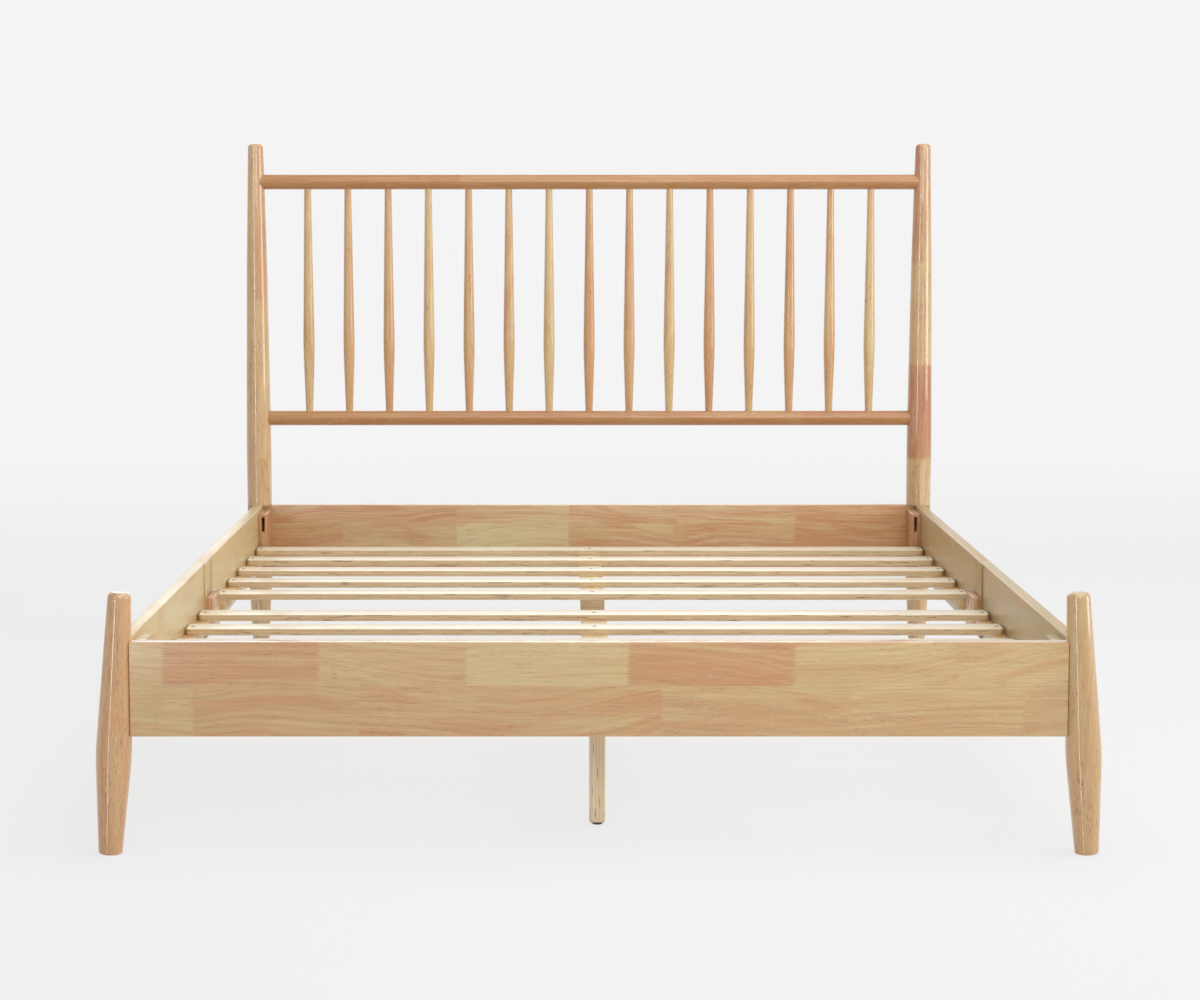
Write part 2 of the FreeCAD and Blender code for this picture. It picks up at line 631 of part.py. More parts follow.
def make_centre_beam(end_sign):
    """The beam under the slats' middles, with its lower edges rounded."""
    beam = block((-BEAM_WIDTH / 2, BEAM_WIDTH / 2), deck_span(end_sign), (BEAM_BOTTOM, SLAT_BOTTOM))
    lower = [edge for edge in edges_along(beam, Y_AXIS) if edge.BoundBox.ZMax < BEAM_BOTTOM + 1]
    beam = beam.makeFillet(BEAM_ROUND, lower)
    mouth = V(0, centre_leg_y(end_sign), BEAM_BOTTOM)
    return beam.cut(many_sided_rod(CENTRE_LEG_TENON_RADIUS + GLUE_GAP, mouth, Z_AXIS,
                                   CENTRE_LEG_TENON_LENGTH + GLUE_GAP))


# --- centre legs ----------------------------------------------------------------------------
def make_centre_leg(end_sign):
    """A square leg with a round tenon above and a bore for the levelling foot below."""
    y = centre_leg_y(end_sign)
    half = CENTRE_LEG_SIZE / 2
    leg = block((-half, half), (y - half, y + half), (PAD_HEIGHT, BEAM_BOTTOM))
    leg = leg.makeFillet(CENTRE_LEG_EDGE_ROUND, edges_along(leg, Z_AXIS))
    tenon = many_sided_rod(CENTRE_LEG_TENON_RADIUS, V(0, y, BEAM_BOTTOM), Z_AXIS, CENTRE_LEG_TENON_LENGTH)
    mouth = V(0, y, PAD_HEIGHT)
    sleeve_hole = many_sided_rod(SLEEVE_RADIUS + GLUE_GAP, mouth, Z_AXIS, SLEEVE_LENGTH + GLUE_GAP)
    stud_hole = many_sided_rod(STUD_RADIUS + STUD_HOLE_GAP, mouth, Z_AXIS, STUD_LENGTH + STUD_HOLE_GAP)
    return leg.fuse(tenon).cut(sleeve_hole).cut(stud_hole)


def make_thread_sleeves():
    """The threaded sleeves pressed into the centre legs' feet."""
    sleeves = []
    for end_name, end_sign in ENDS:
        base = V(0, centre_leg_y(end_sign), PAD_HEIGHT)
        sleeve = many_sided_rod(SLEEVE_RADIUS, base, Z_AXIS, SLEEVE_LENGTH)
        sleeves.append(sleeve.cut(rod(STUD_RADIUS + STUD_RUNNING_GAP, base, Z_AXIS, SLEEVE_LENGTH)))
    return Part.makeCompound(sleeves)


def make_levelling_foot(end_sign):
    """A round pad on a stud; it can be screwed out by the levelling travel."""
    base = V(0, centre_leg_y(end_sign), 0)
    corners = [(PAD_RADIUS - PAD_ROUND, 0, 0, 0),
               (PAD_RADIUS, PAD_ROUND, 0, 0),
               (PAD_RADIUS, PAD_HEIGHT, 0, 0)]
    pad = turned(corners)
    pad.translate(base)
    return pad.fuse(rod(STUD_RADIUS, base + Z_AXIS * PAD_HEIGHT, Z_AXIS, STUD_LENGTH))


# --- the whole bed --------------------------------------------------------------------------
def build():
    os.makedirs("parts", exist_ok=True)
    save("foot_rail", make_foot_rail())
    save("head_panel", make_head_panel())
    save("headboard_top_rail", make_head_rail(TOP_RAIL_HEIGHT, -1, SPINDLE_TOP_RADIUS))
    save("headboard_lower_rail", make_head_rail(LOWER_RAIL_HEIGHT, 1, SPINDLE_FOOT_RADIUS))
    for number, x in enumerate(spindle_places(), 1):
        save("spindle_%02d" % number, make_spindle(x))
    for side_name, side in SIDES:
        save("foot_leg_" + side_name, make_foot_leg(side))
        save("head_post_" + side_name, make_head_post(side))
        save("splice_plate_" + side_name, make_splice_plate(side))
        save("splice_block_" + side_name, make_splice_block(side))
        for end_name, end_sign in ENDS:
            place = side_name + "_" + end_name
            save("side_rail_" + place, make_side_rail(side, end_sign))
            save("corner_block_" + place, make_corner_block(side, end_sign))
            save("slat_ledger_" + place, make_ledger(side, end_sign))
    for number, y in enumerate(slat_centres(), 1):
        save("slat_%02d" % number, make_slat(y))
    for end_name, end_sign in ENDS:
        save("centre_beam_" + end_name, make_centre_beam(end_sign))
        save("centre_leg_" + end_name, make_centre_leg(end_sign))
        save("levelling_foot_" + end_name, make_levelling_foot(end_sign))
    save("thread_sleeves", make_thread_sleeves())
    save("splice_bolts", make_splice_bolts())
    save("corner_bolts", make_corner_bolts())
    save("insert_nuts", make_insert_nuts())


build()
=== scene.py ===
import math
import random

import bmesh
import bpy
from mathutils import Matrix, Vector


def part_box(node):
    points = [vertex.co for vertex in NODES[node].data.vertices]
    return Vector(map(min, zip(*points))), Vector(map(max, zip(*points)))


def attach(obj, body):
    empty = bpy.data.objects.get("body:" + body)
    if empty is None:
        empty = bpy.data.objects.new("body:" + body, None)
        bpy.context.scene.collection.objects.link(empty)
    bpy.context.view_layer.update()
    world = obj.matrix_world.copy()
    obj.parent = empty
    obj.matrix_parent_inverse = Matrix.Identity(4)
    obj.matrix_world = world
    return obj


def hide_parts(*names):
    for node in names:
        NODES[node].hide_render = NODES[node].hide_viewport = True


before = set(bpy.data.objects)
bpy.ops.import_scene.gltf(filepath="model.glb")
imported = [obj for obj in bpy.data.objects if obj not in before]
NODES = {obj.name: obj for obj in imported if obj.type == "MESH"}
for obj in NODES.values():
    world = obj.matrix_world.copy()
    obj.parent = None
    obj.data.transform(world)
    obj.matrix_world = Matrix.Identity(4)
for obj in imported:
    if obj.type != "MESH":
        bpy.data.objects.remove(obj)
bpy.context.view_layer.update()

FRAME_BODY = "bed_frame"
SIDES = (("left", -1), ("right", 1))
ENDS = (("foot", -1), ("head", 1))
SPINDLES = ["spindle_%02d" % number for number in range(1, 16)]


def middle(node):
    """The middle of a construction piece's box."""
    low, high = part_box(node)
    return (low + high) / 2


# sizes in metres; everything else is read from the construction's own boxes
POST_X = 0.779
POST_Y = sum(corner.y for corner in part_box("spindle_08")) / 2
POST_HEIGHT = 1.2
LEG_LEAN = math.radians(2.86)
LEG_X_AT_RAIL = 0.7888
LEG_FLAT_X = 0.7653
RAIL_TOP = 0.353
RAIL_BOTTOM = 0.203
FOOT_RAIL_HEIGHT = 0.156
RAIL_MIDDLE = RAIL_TOP - FOOT_RAIL_HEIGHT / 2
SIDE_RAIL_X = 0.781
SIDE_RAIL_SKIN = 0.0098
BOARD_TENON = 0.015
HEAD_RAIL_RADIUS = 0.0174
SPINDLE_PITCH = (middle(SPINDLES[-1]).x - middle(SPINDLES[0]).x) / (len(SPINDLES) - 1)
SLAT_TOP = 0.270
SLAT_THICKNESS = 0.0125
PAD_HEIGHT = 0.005
STUD_RADIUS = 0.003

# turned outlines from the floor up: radius, height, and how far the corner is rounded
POST_OUTLINE = ((0.0182, 0.0, 0.004), (0.0280, 0.185, 0.6), (0.0292, 0.5, 6.0),
                (0.0242, 0.9, 3.0), (0.0179, POST_HEIGHT, 0.0085))
LEG_OUTLINE = ((0.0197, 0.0, 0.004), (0.0301, 0.165, 0.5), (0.0188, 0.434, 0.009))
LEG_BELLY = LEG_OUTLINE[1][0]


# --- meshes ---------------------------------------------------------------------------------
# points nearer than this are one point, and a height within this of another counts as equal to it
SAME_PLACE = 1e-6
CLOSE_TO = 1e-5
LONG_EDGE = 0.3
EASED_FROM = math.radians(32)


def add_object(name, data):
    piece = bpy.data.objects.new(name, data)
    bpy.context.scene.collection.objects.link(piece)
    return piece


def shade(mesh, angle=30):
    """Smooth shading, broken where faces meet at more than the angle."""
    mesh.shade_smooth()
    mesh.set_sharp_from_angle(angle=math.radians(angle))


def from_bmesh(name, bm, smooth=True):
    bmesh.ops.recalc_face_normals(bm, faces=bm.faces)
    mesh = bpy.data.meshes.new(name)
    bm.to_mesh(mesh)
    bm.free()
    if smooth:
        shade(mesh)
    return add_object(name, mesh)


def baked(piece):
    """The piece with its modifiers worked into a plain mesh."""
    graph = bpy.context.evaluated_depsgraph_get()
    mesh = bpy.data.meshes.new_from_object(piece.evaluated_get(graph))
    old = piece.data
    piece.modifiers.clear()
    piece.data = mesh
    if old.users == 0:
        bpy.data.meshes.remove(old)
    return piece


def finish_piece(piece, material, nodes=(), body=FRAME_BODY):
    """Gives a piece its finish and its place in the construction."""
    piece.data.materials.clear()
    piece.data.materials.append(material)
    if nodes:
        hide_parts(*nodes)
    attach(piece, body)
    return piece


def rounded_outline(corners, steps=9):
    """Points (radius, height) of a turned outline, each corner rounded by its own tangent arc."""
    points = [Vector((radius, height)) for radius, height, _ in corners]
    line = [Vector((0, points[0].y))] + points + [Vector((0, points[-1].y))]
    outline = []
    for index, (corner, (_, _, rounding)) in enumerate(zip(points, corners), 1):
        back = (line[index - 1] - corner).normalized()
        ahead = (line[index + 1] - corner).normalized()
        half_turn = (math.pi - back.angle(ahead)) / 2
        centre = corner + (back + ahead).normalized() * (rounding / math.cos(half_turn))
        spoke = (corner - centre).normalized()
        across = (ahead - back).normalized()
        for step in range(steps + 1):
            angle = half_turn * (2 * step / steps - 1)
            outline.append(centre + (spoke * math.cos(angle) + across * math.sin(angle)) * rounding)
    return outline


def add_round(bm, outline, place, sides):
    """Adds a closed round about Z, from points (radius, height), put in its place by a matrix."""
    angles = [2 * math.pi * index / sides for index in range(sides)]
    rings = []
    for radius, height in outline:
        rings.append([bm.verts.new(place @ Vector((radius * math.cos(angle), radius * math.sin(angle),
                                                   height))) for angle in angles])
    for lower, upper in zip(rings, rings[1:]):
        for index in range(sides):
            after = (index + 1) % sides
            bm.faces.new((lower[index], lower[after], upper[after], upper[index]))
    bm.faces.new(rings[0])
    bm.faces.new(rings[-1])


def lathe(name, outline, place, sides=72):
    """A closed turned piece of its own."""
    bm = bmesh.new()
    add_round(bm, outline, place, sides)
    return from_bmesh(name, bm)


def box_mesh(low, high):
    bm = bmesh.new()
    size = Vector(high) - Vector(low)
    centre = (Vector(high) + Vector(low)) / 2
    bmesh.ops.create_cube(bm, size=1, matrix=Matrix.Translation(centre) @ Matrix.Diagonal((*size, 1)))
    return bm


def sided_box(side, x_range, y_range, z_range):
    """The corners of a box given for the right side of the bed, on the side asked for."""
    near, far = sorted(side * x for x in x_range)
    return (near, y_range[0], z_range[0]), (far, y_range[1], z_range[1])


def cut_boxes(piece, boxes):
    """Cuts box-shaped notches out of a piece."""
    cutters = [from_bmesh("cutter", box_mesh(low, high), smooth=False) for low, high in boxes]
    for cutter in cutters:
        change = piece.modifiers.new("notch", "BOOLEAN")
        change.operation = "DIFFERENCE"
        change.solver = "EXACT"
        change.object = cutter
    baked(piece)
    for cutter in cutters:
        bpy.data.objects.remove(cutter)
    shade(piece.data)
    return piece


def eased(piece, width, segments=3):
    """Rounds a piece's sharp edges and works the rounding into its mesh."""
    bevel = piece.modifiers.new("ease", "BEVEL")
    bevel.width = width
    bevel.segments = segments
    bevel.limit_method = "ANGLE"
    bevel.angle_limit = EASED_FROM
    baked(piece)
    shade(piece.data, angle=40)
    return piece


def board_piece(name, node, trim_x=0.0, ease=0.0016):
    """A plain board in a construction piece's place, without the tenons at its ends."""
    low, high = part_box(node)
    low.x += trim_x
    high.x -= trim_x
    return eased(from_bmesh(name, box_mesh(low, high)), ease)


def edges_below(bm, height):
    return [edge for edge in bm.edges if max(vert.co.z for vert in edge.verts) < height]


def round_edges(bm, edges, width, segments):
    bmesh.ops.bevel(bm, geom=edges, offset=width, segments=segments, profile=0.5, affect="EDGES")


def softened(node, width, low_round=0.0):
    """A copy of a construction piece with its sharp edges softened, and its long lower edges rounder."""
    mesh = NODES[node].data.copy()
    bm = bmesh.new()
    bm.from_mesh(mesh)
    bmesh.ops.remove_doubles(bm, verts=bm.verts, dist=SAME_PLACE)
    bmesh.ops.dissolve_limit(bm, angle_limit=math.radians(1), verts=bm.verts, edges=bm.edges)
    if low_round:
        bottom = min(vert.co.z for vert in bm.verts)
        long_low = [edge for edge in edges_below(bm, bottom + CLOSE_TO) if edge.calc_length() > LONG_EDGE]
        round_edges(bm, long_low, low_round, 6)
    bm.to_mesh(mesh)
    bm.free()
    return eased(add_object(node + "_finished", mesh), width, 2)


# --- node trees -----------------------------------------------------------------------------
NUMBER, COUNT, PLACE = "NodeSocketFloat", "NodeSocketInt", "NodeSocketVector"
COLOR, SHAPE = "NodeSocketColor", "NodeSocketGeometry"


class Graph:
    """Adds nodes to a tree."""

    def __init__(self, tree):
        self.tree = tree

    def fill(self, node, inputs):
        """Links each input to the node or socket given for it, or sets it to the value given."""
        for key, value in inputs.items():
            if isinstance(value, bpy.types.Node):
                value = value.outputs[0]
            if isinstance(value, bpy.types.NodeSocket):
                self.tree.links.new(value, node.inputs[key])
            else:
                node.inputs[key].default_value = value

    def node(self, kind, inputs=None, **settings):
        node = self.tree.nodes.new(kind)
        for name, value in settings.items():
            setattr(node, name, value)
        self.fill(node, inputs or {})
        return node

    def math(self, operation, *values, clamp=False):
        node = self.node("ShaderNodeMath", dict(enumerate(values)), operation=operation, use_clamp=clamp)
        return node.outputs[0]

    def plus(self, a, b, clamp=False):
        return self.math("ADD", a, b, clamp=clamp)

    def minus(self, a, b):
        return self.math("SUBTRACT", a, b)

    def times(self, a, b):
        return self.math("MULTIPLY", a, b)

    def either(self, switch, yes, no):
        """One value where the switch is 1, the other where it is 0."""
        return self.plus(self.times(switch, yes), self.times(self.minus(1.0, switch), no))

    def vector(self, x, y, z):
        return self.node("ShaderNodeCombineXYZ", {0: x, 1: y, 2: z}).outputs[0]

    def scaled(self, values, scales):
        """A place to look a pattern up at: three values, each times its scale."""
        return self.vector(*[self.times(value, scale) for value, scale in zip(values, scales)])

    def noise(self, vector, detail=2.0, rough=0.5, distortion=0.0):
        inputs = {"Vector": vector, "Scale": 1.0, "Detail": detail, "Roughness": rough,
                  "Distortion": distortion}
        return self.node("ShaderNodeTexNoise", inputs).outputs["Fac"]

    def mix(self, factor, a, b, blend="MIX"):
        # a Mix node has sockets for every kind of value; 6, 7 and 2 are those for colour
        inputs = {"Factor": factor, 6: a, 7: b}
        return self.node("ShaderNodeMix", inputs, data_type="RGBA", blend_type=blend).outputs[2]

    def between(self, value, low, high, to_low=0.0, to_high=1.0):
        inputs = {"Value": value, "From Min": low, "From Max": high, "To Min": to_low, "To Max": to_high}
        return self.node("ShaderNodeMapRange", inputs).outputs[0]


def new_group(name, kind, inputs, outputs):
    """A tree of its own; its inputs and outputs are given as names with their kinds."""
    tree = bpy.data.node_groups.new(name, kind)
    for way, sockets in (("INPUT", inputs), ("OUTPUT", outputs)):
        for label, socket in sockets.items():
            tree.interface.new_socket(label, in_out=way, socket_type=socket)
    graph = Graph(tree)
    given = graph.node("NodeGroupInput").outputs
    leave = graph.node("NodeGroupOutput")
    return graph, given, leave


def grown(tree, name, **given):
    """Runs a geometry tree on an empty mesh and keeps the result as a plain mesh."""
    piece = add_object(name, bpy.data.meshes.new(name))
    change = piece.modifiers.new("grow", "NODES")
    change.node_group = tree
    for item in tree.interface.items_tree:
        if item.in_out == "INPUT" and item.name in given:
            change[item.identifier] = given[item.name]
    return baked(piece)


def points_in_line(graph, count, step, first=(0, 0, 0)):
    return graph.node("GeometryNodeMeshLine", {"Count": count, "Start Location": first,
                                               "Offset": graph.vector(*step)})


def set_on(graph, points, shape):
    return graph.node("GeometryNodeInstanceOnPoints", {"Points": points, "Instance": shape})


def made_real(graph, instances):
    return graph.node("GeometryNodeRealizeInstances", {0: instances})


def end_tree(graph, leave, shape, material):
    """Ends a geometry tree with the material of its pieces."""
    done = graph.node("GeometryNodeSetMaterial", {"Geometry": shape, "Material": material})
    graph.fill(leave, {0: done})
    return graph.tree


# --- colours --------------------------------------------------------------------------------
def paint(red, green, blue):
    """A colour given as it looks on a screen, 0 to 255."""
    def linear(value):
        value /= 255
        return value / 12.92 if value <= 0.04045 else ((value + 0.055) / 1.055) ** 2.4
    return (linear(red), linear(green), linear(blue), 1.0)


PALE = paint(210, 182, 130)
WARM = paint(200, 146, 97)
PORE = paint(128, 82, 52)
# the pale cream of a painted glint: a highlight of the lacquer laid into the wood's colour
PAINTED_GLINT = paint(234, 214, 176)
POST_PALE = {"left": paint(208, 178, 128), "right": paint(208, 178, 130)}
POST_WARM = {"left": paint(198, 146, 102), "right": paint(182, 121, 80)}
# the right-hand pale is darker than the left only by painted shade, as the right rail's inner face lies
# in shadow
RAIL_PALE_AND_SHADE = {"left": paint(208, 188, 138), "right": paint(170, 147, 92)}
BLOCK_PALE = paint(202, 162, 118)
BLOCK_WARM = paint(177, 122, 84)
GLUE_LINE = paint(128, 92, 58)
GAP_SHADE = paint(88, 60, 38)
BACKDROP = paint(244, 244, 244)


# --- wood -----------------------------------------------------------------------------------
TOOTH_PITCH = 0.0042
TOOTH_DEPTH = 0.009
# how far on in the stem the next seed lies, along and across the grain
SEED_ALONG, SEED_ACROSS = 5.37, 0.31
STEM_SWAY = 0.17
RIPPLE_DEPTH = 0.006
RING_SCALE = 135.0
# how strongly the painted glints lighten the colour
PAINTED_GLINT_STRENGTH = 0.36
UPPER_ROW_SEED = 0.53


def wood_figure():
    """The figure of one stave: growth rings about a far-off pith, streaks and pores, and pale painted
    glints.
    """
    graph, given, leave = new_group(
        "wood figure", "ShaderNodeTree",
        {"Along": NUMBER, "Across": NUMBER, "Depth": NUMBER, "Seed": NUMBER, "Tone": NUMBER,
         "Pale": COLOR, "Warm": COLOR, "Pore": COLOR, "Pore strength": NUMBER},
        {"Color": COLOR, "Roughness": NUMBER, "Height": NUMBER})
    seed, depth = given["Seed"], given["Depth"]
    along = graph.plus(given["Along"], graph.times(seed, SEED_ALONG))
    across = graph.plus(given["Across"], graph.times(seed, SEED_ACROSS))

    def stretched(long_scale, cross_scale):
        return graph.scaled((along, across, depth), (long_scale, cross_scale, cross_scale))

    # the pith lies to one side of the stave, and the stem was never quite straight
    chance = graph.node("ShaderNodeTexWhiteNoise", {"W": seed}, noise_dimensions="1D").outputs["Color"]
    pick = graph.node("ShaderNodeSeparateColor", {0: chance}).outputs
    drift = graph.noise(stretched(1.9, 4.0), 1.0)
    from_pith = graph.plus(given["Across"], graph.times(graph.minus(drift, 0.5), STEM_SWAY))
    from_pith = graph.plus(from_pith, graph.between(pick[0], 0, 1, -0.05, 0.05))
    below = graph.plus(depth, graph.between(pick[1], 0, 1, 0.012, 0.05))
    squares = graph.plus(graph.times(from_pith, from_pith), graph.times(below, below))
    ripple = graph.noise(stretched(8.0, 60.0), 3.0)
    radius = graph.plus(graph.math("POWER", squares, 0.5), graph.times(ripple, RIPPLE_DEPTH))
    rings = graph.node("ShaderNodeTexNoise", {"W": graph.times(radius, RING_SCALE), "Scale": 1.0,
                                              "Detail": 3.0, "Roughness": 0.6},
                       noise_dimensions="1D").outputs["Fac"]
    figure = graph.between(rings, 0.34, 0.68)
    # heartwood lies in long patches with wandering edges, drawn out along the grain
    heart_place = graph.scaled((along, radius, across), (3.4, 34.0, 9.0))
    heart = graph.between(graph.noise(heart_place, 3.0, 0.5, 0.8), 0.45, 0.56)
    streak = graph.noise(stretched(17.0, 430.0), 3.0, 0.7)
    strand = graph.noise(stretched(6.0, 190.0), 2.0, 0.6)
    blotch = graph.noise(stretched(4.5, 20.0), 2.0)
    # pores are short dark flecks that crowd together, most of all in the dark of a ring
    fleck = graph.between(graph.noise(stretched(66.0, 560.0), 2.0, 0.6), 0.56, 0.645)
    crowd = graph.between(graph.noise(stretched(9.0, 60.0), 2.0), 0.40, 0.60)
    pores = graph.times(fleck, graph.times(crowd, graph.between(figure, 0, 1, 0.4, 1.0)))
    # pale cream flecks that stand for glints of the lacquer: a painted highlight in the colour
    painted_glint = graph.between(graph.noise(stretched(48.0, 520.0), 2.0, 0.6), 0.60, 0.70)
    painted_glint = graph.times(painted_glint, graph.between(graph.noise(stretched(5.0, 45.0), 1.0), 0.52, 0.66))

    warmth = graph.plus(given["Tone"], graph.between(figure, 0, 1, -0.10, 0.16))
    warmth = graph.plus(warmth, graph.between(heart, 0, 1, -0.13, 0.20))
    warmth = graph.plus(warmth, graph.between(strand, 0.3, 0.7, -0.14, 0.14))
    warmth = graph.plus(warmth, graph.between(blotch, 0.3, 0.7, -0.12, 0.12), clamp=True)
    color = graph.mix(warmth, given["Pale"], given["Warm"])
    shade_by = graph.times(graph.between(streak, 0.25, 0.75, 0.86, 1.11),
                           graph.between(figure, 0, 1, 1.02, 0.965))
    color = graph.mix(1.0, color, graph.vector(shade_by, shade_by, shade_by), "MULTIPLY")
    color = graph.mix(graph.times(pores, given["Pore strength"]), color, given["Pore"])
    color = graph.mix(graph.times(painted_glint, PAINTED_GLINT_STRENGTH), color, PAINTED_GLINT)
    rough = graph.plus(graph.between(streak, 0.3, 0.7, 0.36, 0.46), graph.times(pores, 0.2))
    height = graph.minus(graph.times(streak, 0.35), pores)
    graph.fill(leave, {"Color": color, "Roughness": rough, "Height": height})
    return graph.tree


WOOD_FIGURE = wood_figure()


def material_graph(name):
    material = bpy.data.materials.new(name)
    material.use_nodes = True
    graph = Graph(material.node_tree)
    shader = material.node_tree.nodes["Principled BSDF"]
    place = graph.node("ShaderNodeTexCoord").outputs["Object"]
    xyz = graph.node("ShaderNodeSeparateXYZ", {0: place}).outputs
    return material, graph, shader, xyz


def lacquered(graph, shader, color, rough, height, coat, coat_rough, depth=0.00012):
    """Joins a figure to the shader, under a thin clear coat."""
    bump = graph.node("ShaderNodeBump", {"Strength": 0.6, "Distance": depth, "Height": height})
    graph.fill(shader, {"Base Color": color, "Roughness": rough, "Normal": bump, "Coat Weight": coat,
                        "Coat Roughness": coat_rough, "Specular IOR Level": 0.4})


def wooden(graph, shader, place, tone, seed, pale, warm, pores, coat, coat_rough):
    """Gives a shader the figure of wood; place runs along, across and into the stave."""
    along, across, deep = place
    figure = graph.node("ShaderNodeGroup", {
        "Along": along, "Across": across, "Depth": deep, "Seed": seed, "Tone": tone, "Pale": pale,
        "Warm": warm, "Pore": PORE, "Pore strength": pores}, node_tree=WOOD_FIGURE)
    color, rough, height = figure.outputs
    lacquered(graph, shader, color, rough, height, coat, coat_rough)


def stave_ramp(graph, along, start, end, joints):
    """Tone and seed of the stave at a place; joints are (where it starts, tone)."""
    ramp = graph.node("ShaderNodeValToRGB", {0: graph.between(along, start, end)})
    ramp.color_ramp.interpolation = "CONSTANT"
    stops = ramp.color_ramp.elements
    while len(stops) > 1:
        stops.remove(stops[-1])
    for index, (where, tone) in enumerate(joints):
        place = max(0.0, (where - start) / (end - start))
        stop = stops[0] if index == 0 else stops.new(place)
        stop.position = place
        # the green of a stop holds a seed that differs from stave to stave
        stop.color = (tone, (index * 0.377 + where * 3.1) % 1.0, 0, 1)
    split = graph.node("ShaderNodeSeparateColor", {0: ramp.outputs[0]}).outputs
    return split[0], split[1]


def toothed(graph, along, across):
    """The place along the grain, wavering in sharp teeth as finger joints do."""
    wave = graph.math("PINGPONG", across, TOOTH_PITCH / 2)
    wave = graph.between(wave, 0, TOOTH_PITCH / 2, -TOOTH_DEPTH / 2, TOOTH_DEPTH / 2)
    return graph.plus(along, wave)


def wood(name, grain, centre, rows=None, span=(-1, 1), tone=0.4, seed=0.5, coat=0.6, coat_rough=0.12,
         pale=PALE, warm=WARM, pores=0.42, outside=None):
    """Solid wood. rows, if given, are the joints over the span, above and below the centre.
    The last argument, if given, is a distance from the middle and the unshaded pale tone past it; inside
    that distance the pale given may carry painted shade."""
    material, graph, shader, xyz = material_graph(name)
    order = {"X": (0, 2, 1), "Y": (1, 2, 0), "Z": (2, 0, 1)}[grain]
    along, across, deep = [graph.minus(xyz[axis], centre[axis]) for axis in order]
    if rows:
        place = toothed(graph, along, across)
        upper, lower = [stave_ramp(graph, place, *span, joints) for joints in rows]
        is_upper = graph.math("GREATER_THAN", across, 0.0)
        tone, seed = [graph.either(is_upper, high, low) for high, low in zip(upper, lower)]
        seed = graph.plus(seed, graph.times(is_upper, UPPER_ROW_SEED))
    if outside:
        pale = graph.mix(graph.math("GREATER_THAN", deep, outside[0]), pale, outside[1])
    wooden(graph, shader, (along, across, deep), tone, seed, pale, warm, pores, coat, coat_rough)
    return material


def plywood(name, plies, bottom, thickness, axis=2, long_axis=0, face=paint(240, 233, 214),
            edge=paint(236, 214, 174), dark=paint(188, 152, 110)):
    """Layered wood: a pale face veneer, and edges whose plies turn their grain by quarters.
    The plies lie on each other along axis, and the face's grain runs along long_axis."""
    material, graph, shader, xyz = material_graph(name)
    runs = xyz[long_axis], xyz[3 - axis - long_axis], xyz[axis]
    wave = graph.noise(graph.scaled(runs, (9.0, 9.0, 40.0)), 3.0)
    level = graph.plus(graph.between(xyz[axis], bottom, bottom + thickness, 0.0, float(plies)),
                       graph.between(wave, 0.3, 0.7, -0.16, 0.16))
    odd = graph.math("GREATER_THAN", graph.math("MODULO", graph.plus(level, 2.0), 2.0), 1.0)
    glue = graph.between(graph.math("PINGPONG", level, 0.5), 0.0, 0.10, 1.0, 0.0)
    along = graph.noise(graph.scaled(runs, (14.0, 14.0, 900.0)), 3.0, 0.6)
    ends = graph.noise(graph.scaled(runs, (700.0, 700.0, 700.0)), 2.0, 0.6)
    edge_grain = graph.either(odd, ends, along)
    edge_color = graph.mix(graph.between(edge_grain, 0.30, 0.72), edge, dark)
    edge_color = graph.mix(graph.times(odd, 0.35), edge_color, dark)
    # a ply's edge is here and there broken out or gapped, sunk in the bump and darkened with painted
    # shade, and the glue shows more or less
    gap = graph.between(graph.noise(graph.scaled(runs, (19.0, 30.0, 420.0)), 2.0), 0.64, 0.67)
    come_and_go = graph.between(graph.noise(graph.scaled(runs, (7.0, 12.0, 150.0)), 2.0), 0.40, 0.58)
    glue = graph.times(glue, graph.between(come_and_go, 0, 1, 0.35, 1.0))
    edge_color = graph.mix(graph.times(glue, 0.7), edge_color, GLUE_LINE)
    edge_color = graph.mix(graph.times(gap, 0.65), edge_color, GAP_SHADE)
    # the face veneer was peeled, so its figure is broad and wandering
    veneer = graph.noise(graph.scaled(runs, (2.2, 26.0, 3.0)), 3.0, 0.55, 1.2)
    fine = graph.noise(graph.scaled(runs, (12.0, 420.0, 3.0)), 3.0)
    face_color = graph.mix(graph.between(veneer, 0.40, 0.90), face, edge)
    face_color = graph.mix(graph.between(fine, 0.48, 0.8, 0.0, 0.30), face_color, dark)
    normal = graph.node("ShaderNodeNewGeometry").outputs["Normal"]
    up = graph.node("ShaderNodeSeparateXYZ", {0: normal}).outputs[axis]
    is_face = graph.between(graph.math("ABSOLUTE", up), 0.75, 0.9)
    lacquered(graph, shader, graph.mix(is_face, edge_color, face_color),
              graph.between(edge_grain, 0, 1, 0.45, 0.6), graph.minus(edge_grain, gap),
              coat=0.45, coat_rough=0.2, depth=0.0001)
    return material


def plain_material(name, color, rough, metallic=0.0, grit=0.04, scale=900.0):
    """An even finish with a fine mottle in its shade and gloss."""
    material, graph, shader, xyz = material_graph(name)
    speck = graph.noise(graph.scaled(xyz, (scale, scale, scale)), 3.0)
    dark = tuple(value * (1 - grit * 4) for value in color[:3]) + (1,)
    bump = graph.node("ShaderNodeBump", {"Strength": 0.3, "Distance": 0.00005, "Height": speck})
    graph.fill(shader, {"Base Color": graph.mix(speck, dark, color), "Metallic": metallic,
                        "Roughness": graph.between(speck, 0.3, 0.7, rough - grit, rough + grit),
                        "Normal": bump})
    return material


